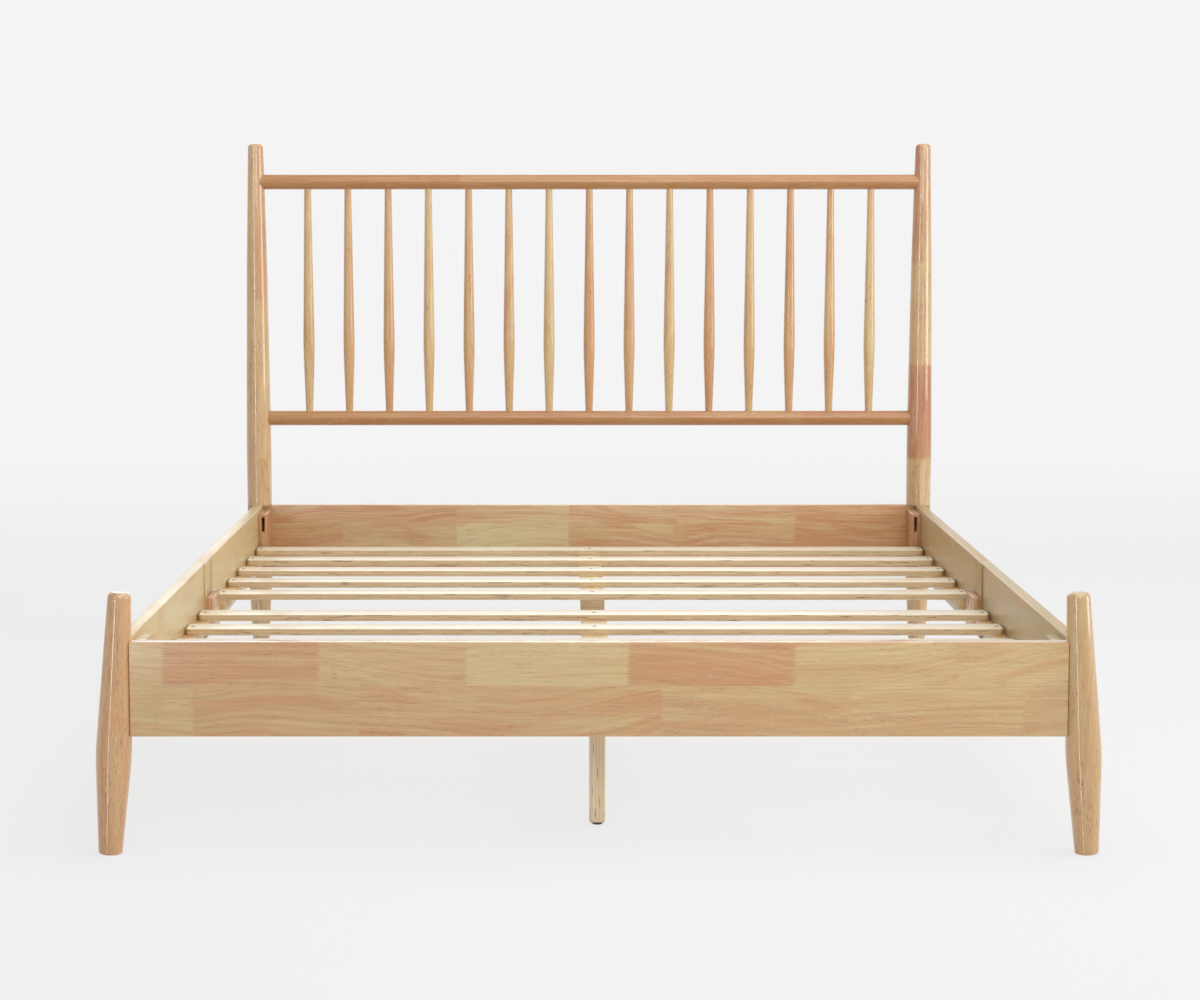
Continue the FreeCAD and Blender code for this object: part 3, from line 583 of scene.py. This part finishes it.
# --- turned pieces --------------------------------------------------------------------------
# staves are (where each starts along the piece, how warm it is), the upper or right-hand row first
POST_STAVES = {
    "left": [[(0, 0.28), (0.46, 0.18), (0.831, 0.58)],
             [(0, 0.34), (0.52, 0.26), (0.831, 0.34)]],
    "right": [[(0, 0.25), (0.30, 0.12), (0.463, 0.92), (0.684, 0.16), (0.922, 0.26)],
              [(0, 0.45), (0.25, 0.32), (0.463, 0.88), (0.684, 0.30), (0.922, 0.70)]]}
LEG_LOOK = {"left": {"tone": 0.72, "seed": 0.31, "pale": PALE},
            "right": {"tone": 0.32, "seed": 0.64, "pale": paint(196, 166, 116)}}
HEAD_RAIL_STAVES = {
    "headboard_top_rail": [(-0.8, 0.85), (-0.30, 0.62), (0.22, 0.78)],
    "headboard_lower_rail": [(-0.8, 0.75), (-0.42, 0.90), (0.10, 0.66), (0.5, 0.85)]}
SPINDLE_TONES = (0.35, 0.62, 0.68, 0.22, 0.66, 0.50, 0.22, 0.92, 0.74, 0.25, 0.88, 0.42, 0.95, 0.52, 0.18)


def make_posts():
    low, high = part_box("head_panel")
    flat = high.x - BOARD_TENON
    reach = 0.08  # takes the cutters right past the post
    for name, side in SIDES:
        place = Matrix.Translation((side * POST_X, POST_Y, 0))
        post = lathe("turned_head_post_" + name, rounded_outline(POST_OUTLINE), place)
        cut_boxes(post, [
            sided_box(side, (flat - reach, flat), (POST_Y - reach, POST_Y + reach), (low.z, RAIL_TOP)),
            sided_box(side, (POST_X - reach, POST_X + reach), (low.y - reach, low.y),
                      (RAIL_BOTTOM, RAIL_TOP))])
        material = wood("head_post_wood_" + name, "Z", (side * POST_X, POST_Y, 0), POST_STAVES[name],
                        (0.0, POST_HEIGHT), coat=1.0, coat_rough=0.06, pale=POST_PALE[name],
                        warm=POST_WARM[name], pores=0.8)
        finish_piece(post, material, ["head_post_" + name])


def make_foot_legs():
    foot_x = LEG_X_AT_RAIL + RAIL_MIDDLE * math.tan(LEG_LEAN)
    leg_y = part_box("foot_leg_left")[0].y + LEG_BELLY
    low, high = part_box("foot_rail")
    reach = 0.09  # takes the cutters right past the leg
    for name, side in SIDES:
        lean = Matrix.Rotation(-side * LEG_LEAN, 4, "Y")
        place = Matrix.Translation((side * foot_x, leg_y, 0)) @ lean
        leg = lathe("turned_foot_leg_" + name, rounded_outline(LEG_OUTLINE), place)
        cut_boxes(leg, [
            sided_box(side, (LEG_FLAT_X - reach, LEG_FLAT_X), (leg_y - reach, leg_y + reach),
                      (low.z, RAIL_TOP)),
            sided_box(side, (LEG_FLAT_X - reach, foot_x + reach), (high.y, leg_y + reach),
                      (RAIL_BOTTOM, RAIL_TOP))])
        # the leg leans, but its foot is sawn level with the floor
        for vertex in leg.data.vertices:
            vertex.co.z = max(vertex.co.z, 0.0)
        material = wood("foot_leg_wood_" + name, "Z", (side * foot_x, leg_y, 0), coat=1.0,
                        coat_rough=0.06, pores=0.9, **LEG_LOOK[name])
        finish_piece(leg, material, ["foot_leg_" + name])


def make_head_rails():
    for node, joints in HEAD_RAIL_STAVES.items():
        low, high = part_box(node)
        centre_z = (low.z + high.z) / 2
        place = Matrix.Translation((low.x, POST_Y, centre_z)) @ Matrix.Rotation(math.pi / 2, 4, "Y")
        outline = [(HEAD_RAIL_RADIUS, 0), (HEAD_RAIL_RADIUS, high.x - low.x)]
        rail = lathe(node + "_finished", outline, place)
        material = wood(node + "_wood", "X", (0, POST_Y, centre_z), [joints, joints], (-0.8, 0.8),
                        coat=0.5, coat_rough=0.10, pale=paint(191, 148, 92), warm=paint(176, 119, 67))
        finish_piece(rail, material, [node])


def spindle_tree(material):
    """A row of turned spindles: each radius is the lesser of two tapers, blended at the belly."""
    graph, given, leave = new_group(
        "spindle row", "GeometryNodeTree",
        {"Count": COUNT, "Pitch": NUMBER, "Length": NUMBER, "First": PLACE, "Foot radius": NUMBER,
         "Belly radius": NUMBER, "Top radius": NUMBER, "Belly height": NUMBER},
        {"Geometry": SHAPE})
    length, belly, belly_height = given["Length"], given["Belly radius"], given["Belly height"]
    foot, top = given["Foot radius"], given["Top radius"]
    line = graph.node("GeometryNodeCurvePrimitiveLine", {"End": graph.vector(0.0, 0.0, length)})
    fine = graph.node("GeometryNodeResampleCurve", {"Curve": line, "Count": 48})
    run = graph.node("GeometryNodeSplineParameter").outputs["Length"]
    rising = graph.math("DIVIDE", graph.minus(belly, foot), belly_height)
    falling = graph.math("DIVIDE", graph.minus(belly, top), graph.minus(length, belly_height))
    lower = graph.plus(foot, graph.times(run, rising))
    upper = graph.plus(top, graph.times(graph.minus(length, run), falling))
    radius = graph.math("SMOOTH_MIN", lower, upper, 0.0025)
    ring = graph.node("GeometryNodeCurvePrimitiveCircle", {"Resolution": 40, "Radius": 1.0})
    stick = graph.node("GeometryNodeCurveToMesh", {"Curve": fine, "Profile Curve": ring,
                                                   "Scale": radius, "Fill Caps": True})
    places = points_in_line(graph, given["Count"], (given["Pitch"], 0.0, 0.0), given["First"])
    numbered = graph.node("GeometryNodeStoreNamedAttribute",
                          {"Geometry": set_on(graph, places, stick), "Name": "stick",
                           "Value": graph.node("GeometryNodeInputIndex")},
                          domain="INSTANCE", data_type="FLOAT")
    smooth = graph.node("GeometryNodeSetShadeSmooth", {"Geometry": made_real(graph, numbered)})
    return end_tree(graph, leave, smooth, material)


def spindle_wood():
    """Each spindle is its own stick, so its tone and figure are its own."""
    material, graph, shader, xyz = material_graph("spindle_wood")
    stick = graph.node("ShaderNodeAttribute", attribute_name="stick").outputs["Fac"]
    step = 1 / len(SPINDLE_TONES)
    joints = [(index * step, tone) for index, tone in enumerate(SPINDLE_TONES)]
    tone, seed = stave_ramp(graph, graph.times(graph.plus(stick, 0.5), step), 0.0, 1.0, joints)
    from_middle = graph.times(graph.minus(stick, float(len(SPINDLES) // 2)), SPINDLE_PITCH)
    place = xyz[2], graph.minus(xyz[0], from_middle), graph.minus(xyz[1], POST_Y)
    seed = graph.plus(seed, graph.times(stick, 0.17))
    wooden(graph, shader, place, tone, seed, PALE, WARM, pores=0.7, coat=0.8, coat_rough=0.08)
    return material


def make_spindles():
    low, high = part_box(SPINDLES[0])
    material = spindle_wood()
    shape = {"Foot radius": 0.0079, "Belly radius": 0.0136, "Top radius": 0.0076, "Belly height": 0.165}
    row = grown(spindle_tree(material), "turned_spindle_row", Count=len(SPINDLES), Pitch=SPINDLE_PITCH,
                Length=high.z - low.z, First=((low.x + high.x) / 2, POST_Y, low.z), **shape)
    finish_piece(row, material, SPINDLES)


# --- boards ---------------------------------------------------------------------------------
BOARD_SPAN = (-0.77, 0.77)
# half of each board's thickness, and how far down its two rows of staves meet
FOOT_RAIL_HALF, FOOT_ROWS_MEET = 0.0125, 0.072
HEAD_PANEL_HALF, HEAD_ROWS_MEET = 0.011, 0.043
FOOT_RAIL_STAVES = [
    [(-0.77, 0.20), (-0.710, 0.66), (-0.462, 0.46), (-0.2217, 0.0), (0.048, 0.78), (0.317, 0.28),
     (0.58, 0.26)],
    [(-0.77, 0.30), (-0.6626, 0.56), (-0.392, 0.58), (0.10, 0.46), (0.408, 0.30), (0.687, 0.40)]]
HEAD_PANEL_STAVES = [
    [(-0.76, 0.78), (-0.317, 0.42), (-0.050, 0.66), (0.209, 0.44), (0.485, 0.72)],
    [(-0.76, 0.85), (-0.586, 0.58), (-0.317, 0.02), (-0.050, 0.60), (0.209, 0.72), (0.485, 0.80)]]
SHORTEST_STAVE, LONGEST_STAVE, LAST_STAVE = 0.30, 0.52, 0.35


def make_board(node, grain, centre, rows, span, trim=0.0, **looks):
    """A board glued up of two rows of finger-jointed staves."""
    board = board_piece("finger_jointed_" + node, node, trim)
    material = wood(node + "_wood", grain, centre, rows, span, **looks)
    finish_piece(board, material, [node])


def side_rail_staves(node):
    """Two rows of staves of chance lengths, the same for a node every time."""
    chance = random.Random(node)
    low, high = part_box(node)
    rows = []
    for _ in range(2):
        joints, where = [(low.y, chance.uniform(0.0, 0.12))], low.y
        while where < high.y - LAST_STAVE:
            where += chance.uniform(SHORTEST_STAVE, LONGEST_STAVE)
            joints.append((where, chance.uniform(0.0, 0.16)))
        rows.append(joints)
    return rows


def make_boards():
    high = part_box("foot_rail")[1]
    make_board("foot_rail", "X", (0, high.y - FOOT_RAIL_HALF, high.z - FOOT_ROWS_MEET),
               FOOT_RAIL_STAVES, BOARD_SPAN, BOARD_TENON, coat=1.0, coat_rough=0.16)
    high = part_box("head_panel")[1]
    make_board("head_panel", "X", (0, high.y - HEAD_PANEL_HALF, high.z - HEAD_ROWS_MEET),
               HEAD_PANEL_STAVES, BOARD_SPAN, BOARD_TENON, coat_rough=0.25,
               pale=paint(206, 186, 140), warm=paint(190, 136, 90))
    for name, side in SIDES:
        # the right-hand rail's pale carries painted shade on its inner face; its outer face takes the
        # left rail's pale tone
        outside = (SIDE_RAIL_SKIN, RAIL_PALE_AND_SHADE["left"]) if side > 0 else None
        for end, _ in ENDS:
            node = "side_rail_%s_%s" % (name, end)
            low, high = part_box(node)
            make_board(node, "Y", (side * SIDE_RAIL_X, 0, RAIL_MIDDLE), side_rail_staves(node),
                       (low.y, high.y), coat_rough=0.34, pale=RAIL_PALE_AND_SHADE[name], outside=outside)


# --- slats ----------------------------------------------------------------------------------
SLAT_CORNER = 0.008
SLAT_EASE = 0.0011
SCREW_RADIUS = 0.0038
SCREW_HEIGHT = 0.0024
SCREW_SUNK = 0.0009
SCREW_FROM_END = 0.009


def slat_tree(material):
    """One deck: slats with rounded corners, set side by side at one pitch."""
    graph, given, leave = new_group(
        "slat deck", "GeometryNodeTree",
        {"Count": COUNT, "Pitch": NUMBER, "Length": NUMBER, "Width": NUMBER, "Thickness": NUMBER,
         "Corner": NUMBER, "First": PLACE},
        {"Geometry": SHAPE})
    plan = graph.node("GeometryNodeCurvePrimitiveQuadrilateral",
                      {"Width": given["Length"], "Height": given["Width"]})
    rounded = graph.node("GeometryNodeFilletCurve", {"Curve": plan, "Radius": given["Corner"],
                                                     "Count": 8}, mode="POLY")
    face = graph.node("GeometryNodeFillCurve", {"Curve": rounded}, mode="NGONS")
    rise = graph.vector(0.0, 0.0, given["Thickness"])
    thick = graph.node("GeometryNodeExtrudeMesh", {"Mesh": face, "Offset": rise, "Individual": False})
    under = graph.node("GeometryNodeFlipFaces", {"Mesh": face})
    both = graph.node("GeometryNodeJoinGeometry")
    for part in (thick, under):
        graph.fill(both, {0: part})
    closed = graph.node("GeometryNodeMergeByDistance", {"Geometry": both, "Distance": CLOSE_TO})
    places = points_in_line(graph, given["Count"], (0.0, given["Pitch"], 0.0), given["First"])
    return end_tree(graph, leave, made_real(graph, set_on(graph, places, closed)), material)


def make_slats():
    material = plywood("slat_plywood", 5, SLAT_TOP - SLAT_THICKNESS, SLAT_THICKNESS)
    tree = slat_tree(material)
    # a deck's slats from its foot end on; they are numbered from the head end of the bed
    for end, numbers in (("head", range(5, 0, -1)), ("foot", range(10, 5, -1))):
        nodes = ["slat_%02d" % number for number in numbers]
        low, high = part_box(nodes[0])
        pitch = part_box(nodes[1])[0].y - low.y
        deck = grown(tree, "plywood_slats_" + end, Count=len(nodes), Pitch=pitch, Length=high.x - low.x,
                     Width=high.y - low.y, Thickness=high.z - low.z, Corner=SLAT_CORNER,
                     First=(0, (low.y + high.y) / 2, low.z))
        eased(deck, SLAT_EASE)
        finish_piece(deck, material, nodes)


def screw_tree(material):
    """Countersunk screws with a cross recess, three to a slat."""
    graph, given, leave = new_group(
        "slat screws", "GeometryNodeTree",
        {"Rows": COUNT, "Pitch": NUMBER, "Spread": NUMBER, "First": PLACE, "Radius": NUMBER,
         "Height": NUMBER},
        {"Geometry": SHAPE})
    radius, deep = given["Radius"], given["Height"]
    head = graph.node("GeometryNodeMeshCylinder", {"Vertices": 24, "Radius": radius, "Depth": deep})
    arm = graph.times(radius, 1.2)
    slit = graph.times(radius, 0.24)
    cross = graph.node("GeometryNodeMeshBoolean", operation="UNION")
    for size in ((arm, slit, deep), (slit, arm, deep)):
        graph.fill(cross, {"Mesh 2": graph.node("GeometryNodeMeshCube", {"Size": graph.vector(*size)})})
    lift = graph.vector(0.0, 0.0, graph.times(deep, 0.6))
    lifted = graph.node("GeometryNodeTransform", {"Geometry": cross, "Translation": lift})
    cut = graph.node("GeometryNodeMeshBoolean", {"Mesh 1": head, "Mesh 2": lifted},
                     operation="DIFFERENCE")
    across = points_in_line(graph, 3, (given["Spread"], 0.0, 0.0), given["First"])
    along = points_in_line(graph, given["Rows"], (0.0, given["Pitch"], 0.0))
    places = made_real(graph, set_on(graph, along, across))
    # each screw was driven home at a chance angle
    turn = graph.node("FunctionNodeRandomValue", {"Seed": 4}, data_type="FLOAT").outputs[1]
    about_z = graph.vector(0.0, 0.0, graph.times(turn, 1.5))
    turned = graph.node("GeometryNodeRotateInstances", {"Instances": set_on(graph, places, cut),
                                                        "Rotation": about_z})
    return end_tree(graph, leave, made_real(graph, turned), material)


def make_slat_screws(steel):
    tree = screw_tree(steel)
    for end, nodes in (("head", ("slat_05", "slat_04")), ("foot", ("slat_10", "slat_09"))):
        low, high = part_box(nodes[0])
        spread = high.x - SCREW_FROM_END
        screws = grown(tree, "slat_screws_" + end, Rows=5, Pitch=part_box(nodes[1])[0].y - low.y,
                       Spread=spread, First=(-spread, (low.y + high.y) / 2, SLAT_TOP - SCREW_SUNK),
                       Radius=SCREW_RADIUS, Height=SCREW_HEIGHT)
        eased(screws, 0.0002, 2)
        finish_piece(screws, steel)


# --- hardware and small wooden pieces ---------------------------------------------------------
BOLT_SIDES = 28
BOLT_RIM = 0.0004
# where the splice bolts sit in a block: into its inner face, to each side of its middle, below its top
SPLICE_BOLT_IN, SPLICE_BOLT_APART, SPLICE_BOLT_DOWN = 0.007, 0.027, 0.019
# and the corner bolts: across the bed, in from a block's outer end, below its top
CORNER_BOLT_X, CORNER_BOLT_IN, CORNER_BOLT_DOWN = 0.758, 0.075, 0.0245


def make_block(node, grain, slot, ease, **looks):
    """A small piece of solid wood, in the construction's own shape."""
    material = wood(node + "_wood", grain, middle(node), **looks)
    finish_piece(softened(node, ease), material, [node])


def make_blocks():
    for name, side in SIDES:
        # foot corner blocks and splice plates take the rail's pale, which on the right side carries
        # painted shade
        corner_looks = {"foot": {"tone": 0.15, "pale": RAIL_PALE_AND_SHADE[name]},
                        "head": {"tone": 0.6, "pale": BLOCK_PALE}}
        for end, end_sign in ENDS:
            make_block("corner_block_%s_%s" % (name, end), "Z", "block_wood", 0.0006,
                       seed=0.13 + 0.2 * side + 0.07 * end_sign, coat=0.3, warm=BLOCK_WARM,
                       **corner_looks[end])
            make_block("slat_ledger_%s_%s" % (name, end), "Y", "plain_softwood", 0.001, tone=0.3,
                       seed=0.4 + 0.15 * side - 0.05 * end_sign, coat=0.1)
        for kind, tone, pale in (("plate", 0.25, RAIL_PALE_AND_SHADE[name]), ("block", 0.4, BLOCK_PALE)):
            make_block("splice_%s_%s" % (kind, name), "Z", "block_wood", 0.0005, tone=tone,
                       seed=0.7 + 0.1 * side, coat=0.3, pale=pale, warm=BLOCK_WARM)
    for end, _ in ENDS:
        node = "centre_beam_" + end
        low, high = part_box(node)
        material = plywood(node + "_wood", 8, low.z, high.z - low.z, axis=2, long_axis=1,
                           face=paint(238, 220, 182), edge=paint(206, 176, 134),
                           dark=paint(168, 134, 96))
        finish_piece(softened(node, 0.0008, low_round=0.009), material, [node])


def make_centre_legs():
    for end, _ in ENDS:
        node = "centre_leg_" + end
        low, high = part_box(node)
        low.z = PAD_HEIGHT
        high.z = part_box("centre_beam_" + end)[0].z
        bm = box_mesh(low, high)
        upright = [edge for edge in bm.edges if abs(edge.verts[0].co.z - edge.verts[1].co.z) > 0.01]
        round_edges(bm, upright, 0.0035, 5)
        round_edges(bm, edges_below(bm, low.z + CLOSE_TO), 0.004, 4)
        leg = from_bmesh("layered_centre_leg_" + end, bm)
        material = plywood(node + "_wood", 9, low.x, high.x - low.x, axis=0, long_axis=2,
                           face=paint(236, 218, 184), edge=paint(250, 234, 202),
                           dark=paint(214, 186, 148))
        finish_piece(leg, material, [node])


def make_levelling_feet(plastic):
    for end, _ in ENDS:
        node = "levelling_foot_" + end
        centre = middle(node)
        outline = ((0.0045, 0.0), (0.0068, 0.0004), (0.0088, 0.0014), (0.0101, 0.0028),
                   (0.0105, 0.0042), (0.0103, 0.0049), (STUD_RADIUS, PAD_HEIGHT),
                   (STUD_RADIUS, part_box(node)[1].z))
        foot = lathe("domed_" + node, outline, Matrix.Translation((centre.x, centre.y, 0)), 48)
        finish_piece(foot, plastic, [node], end + "_end_levelling_foot")


def add_bolt(bm, seat, direction, head_radius, head_height, shank_length, shank_radius=0.0025):
    """A socket-headed bolt: a round head with a round recess, on a plain shank."""
    turn = Vector((0, 0, 1)).rotation_difference(direction).to_matrix().to_4x4()
    outline = ((shank_radius, shank_length), (shank_radius, 0), (head_radius, 0),
               (head_radius, BOLT_RIM - head_height), (head_radius - BOLT_RIM, -head_height),
               (head_radius * 0.56, -head_height), (head_radius * 0.52, -head_height * 0.45))
    add_round(bm, outline, Matrix.Translation(seat) @ turn, BOLT_SIDES)


def make_bolts(steel):
    bm = bmesh.new()
    for name, side in SIDES:
        node = "splice_block_" + name
        low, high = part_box(node)
        seat_x = side * (min(abs(low.x), abs(high.x)) + SPLICE_BOLT_IN)
        for offset in (-SPLICE_BOLT_APART, SPLICE_BOLT_APART):
            seat = Vector((seat_x, middle(node).y + offset, high.z - SPLICE_BOLT_DOWN))
            add_bolt(bm, seat, Vector((side, 0, 0)), head_radius=0.0042, head_height=0.004,
                     shank_length=0.0255)
    finish_piece(from_bmesh("socket_splice_bolts", bm), steel, ["splice_bolts"])
    bm = bmesh.new()
    for name, side in SIDES:
        for end, end_sign in ENDS:
            low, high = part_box("corner_block_%s_%s" % (name, end))
            outer_y = low.y if end_sign < 0 else high.y
            seat = Vector((side * CORNER_BOLT_X, outer_y - end_sign * CORNER_BOLT_IN,
                           high.z - CORNER_BOLT_DOWN))
            add_bolt(bm, seat, Vector((0, end_sign, 0)), head_radius=0.0034, head_height=0.008,
                     shank_length=0.087)
    finish_piece(from_bmesh("socket_corner_bolts", bm), steel, ["corner_bolts"])


# --- studio ---------------------------------------------------------------------------------
def seen_directly(graph):
    """1 for a ray that shows a surface to the camera, in gloss or through glass, and 0 for light."""
    ray = graph.node("ShaderNodeLightPath").outputs
    seen = graph.math("MAXIMUM", ray["Is Camera Ray"], ray["Is Transmission Ray"])
    return graph.math("MAXIMUM", seen, ray["Is Glossy Ray"])


def make_floor():
    """A pale floor that fades into the backdrop far from the bed."""
    bpy.ops.mesh.primitive_circle_add(vertices=96, radius=30, fill_type="NGON", location=(0, 0, 0))
    floor = bpy.context.object
    floor.name = "studio_floor"
    material, graph, shader, xyz = material_graph("studio_floor")
    graph.fill(shader, {"Base Color": (0.80, 0.80, 0.80, 1), "Roughness": 0.9,
                        "Specular IOR Level": 0.1})
    flat_place = graph.vector(xyz[0], xyz[1], 0.0)
    away = graph.node("ShaderNodeVectorMath", {0: flat_place}, operation="LENGTH").outputs["Value"]
    fade = graph.node("ShaderNodeMapRange", {"Value": away, "From Min": 2.2, "From Max": 6.5},
                      interpolation_type="SMOOTHSTEP")
    # seen straight on, the floor is mostly the backdrop's own paleness, and keeps a light shadow
    glow = graph.node("ShaderNodeEmission", {"Color": BACKDROP, "Strength": 1.0})
    pale = graph.node("ShaderNodeMixShader", {0: graph.times(seen_directly(graph), 0.76), 1: shader,
                                              2: glow})
    clear = graph.node("ShaderNodeBsdfTransparent")
    blend = graph.node("ShaderNodeMixShader", {0: fade, 1: pale, 2: clear})
    graph.fill(material.node_tree.nodes["Material Output"], {"Surface": blend})
    floor.data.materials.append(material)
    # a polished floor would mirror the tall lamp, so gloss looks past this one to the lamp's lower half
    floor.visible_glossy = False


def make_world(light_level):
    world = bpy.data.worlds.new("studio")
    bpy.context.scene.world = world
    world.use_nodes = True
    world.node_tree.nodes.clear()
    graph = Graph(world.node_tree)
    soft = graph.node("ShaderNodeBackground", {"Color": (1, 1, 1, 1), "Strength": light_level})
    shown = graph.node("ShaderNodeBackground", {"Color": BACKDROP, "Strength": 1.0})
    blend = graph.node("ShaderNodeMixShader", {0: seen_directly(graph), 1: soft, 2: shown})
    graph.node("ShaderNodeOutputWorld", {"Surface": blend})


def soft_light(name, place, aim, width, height, power, gloss_only=False):
    data = bpy.data.lights.new(name, "AREA")
    data.shape = "RECTANGLE"
    data.size, data.size_y = width, height
    data.energy = power
    lamp = add_object(name, data)
    lamp.location = place
    lamp.visible_camera = False
    lamp.visible_diffuse = not gloss_only
    lamp.rotation_euler = (Vector(aim) - Vector(place)).to_track_quat("-Z", "Y").to_euler()


def make_lights():
    # place, the point each is aimed at, width, height and watts
    soft_light("overhead", (0.8, -0.5, 3.8), (0, 0, 0.3), 3.6, 3.6, 78)
    soft_light("right_bank", (5.6, -1.4, 1.5), (-0.2, 0, 0.3), 2.4, 2.4, 104)
    soft_light("front_fill", (0.8, -5.4, 2.4), (0, 0, 0.4), 2.6, 1.6, 50)
    soft_light("back_bank", (-0.4, 5.4, 2.2), (0, 0, 0.4), 3.4, 1.8, 34)
    # narrow lamps that only draw the bright lines on lacquered rounds and edges
    soft_light("left_gloss_strip", (-5.9, -10.4, 5.8), (0, 0, 5.8), 0.9, 12.0, 430, gloss_only=True)
    soft_light("low_gloss_strip", (-5.9, -10.4, -3.2), (0, 0, -3.2), 0.7, 6.0, 120, gloss_only=True)
    soft_light("high_gloss_strip", (0.3, -3.4, 3.2), (0, -0.4, 0.4), 2.4, 0.4, 40, gloss_only=True)


def make_camera():
    """Where the photographer stood: low in front of the foot, a little left of the middle."""
    data = bpy.data.cameras.new("camera")
    data.lens = 84.0
    data.sensor_width = 36.0
    data.shift_x = 33 / 1200
    camera = add_object("camera", data)
    camera.location = (-0.052, -5.5517, 1.0649)
    tilt_down = 6.075
    camera.rotation_euler = (math.radians(90 - tilt_down), 0, 0)
    bpy.context.scene.camera = camera


# --- the whole bed --------------------------------------------------------------------------
def build():
    dark_steel = plain_material("dark_zinc_steel", paint(62, 54, 46), 0.38, metallic=0.9)
    bright_steel = plain_material("bright_zinc_steel", paint(190, 190, 188), 0.34, metallic=1.0)
    plastic = plain_material("black_pad_plastic", paint(26, 26, 28), 0.48, grit=0.06)
    make_boards()
    make_foot_legs()
    make_posts()
    make_head_rails()
    make_spindles()
    make_slats()
    make_slat_screws(dark_steel)
    make_blocks()
    make_centre_legs()
    make_levelling_feet(plastic)
    make_bolts(dark_steel)
    for node in ("insert_nuts", "thread_sleeves"):
        NODES[node].data.materials.clear()
        NODES[node].data.materials.append(bright_steel)
    make_floor()
    make_world(0.52)
    make_lights()
    make_camera()
    bpy.context.scene.view_settings.view_transform = "Standard"


build()
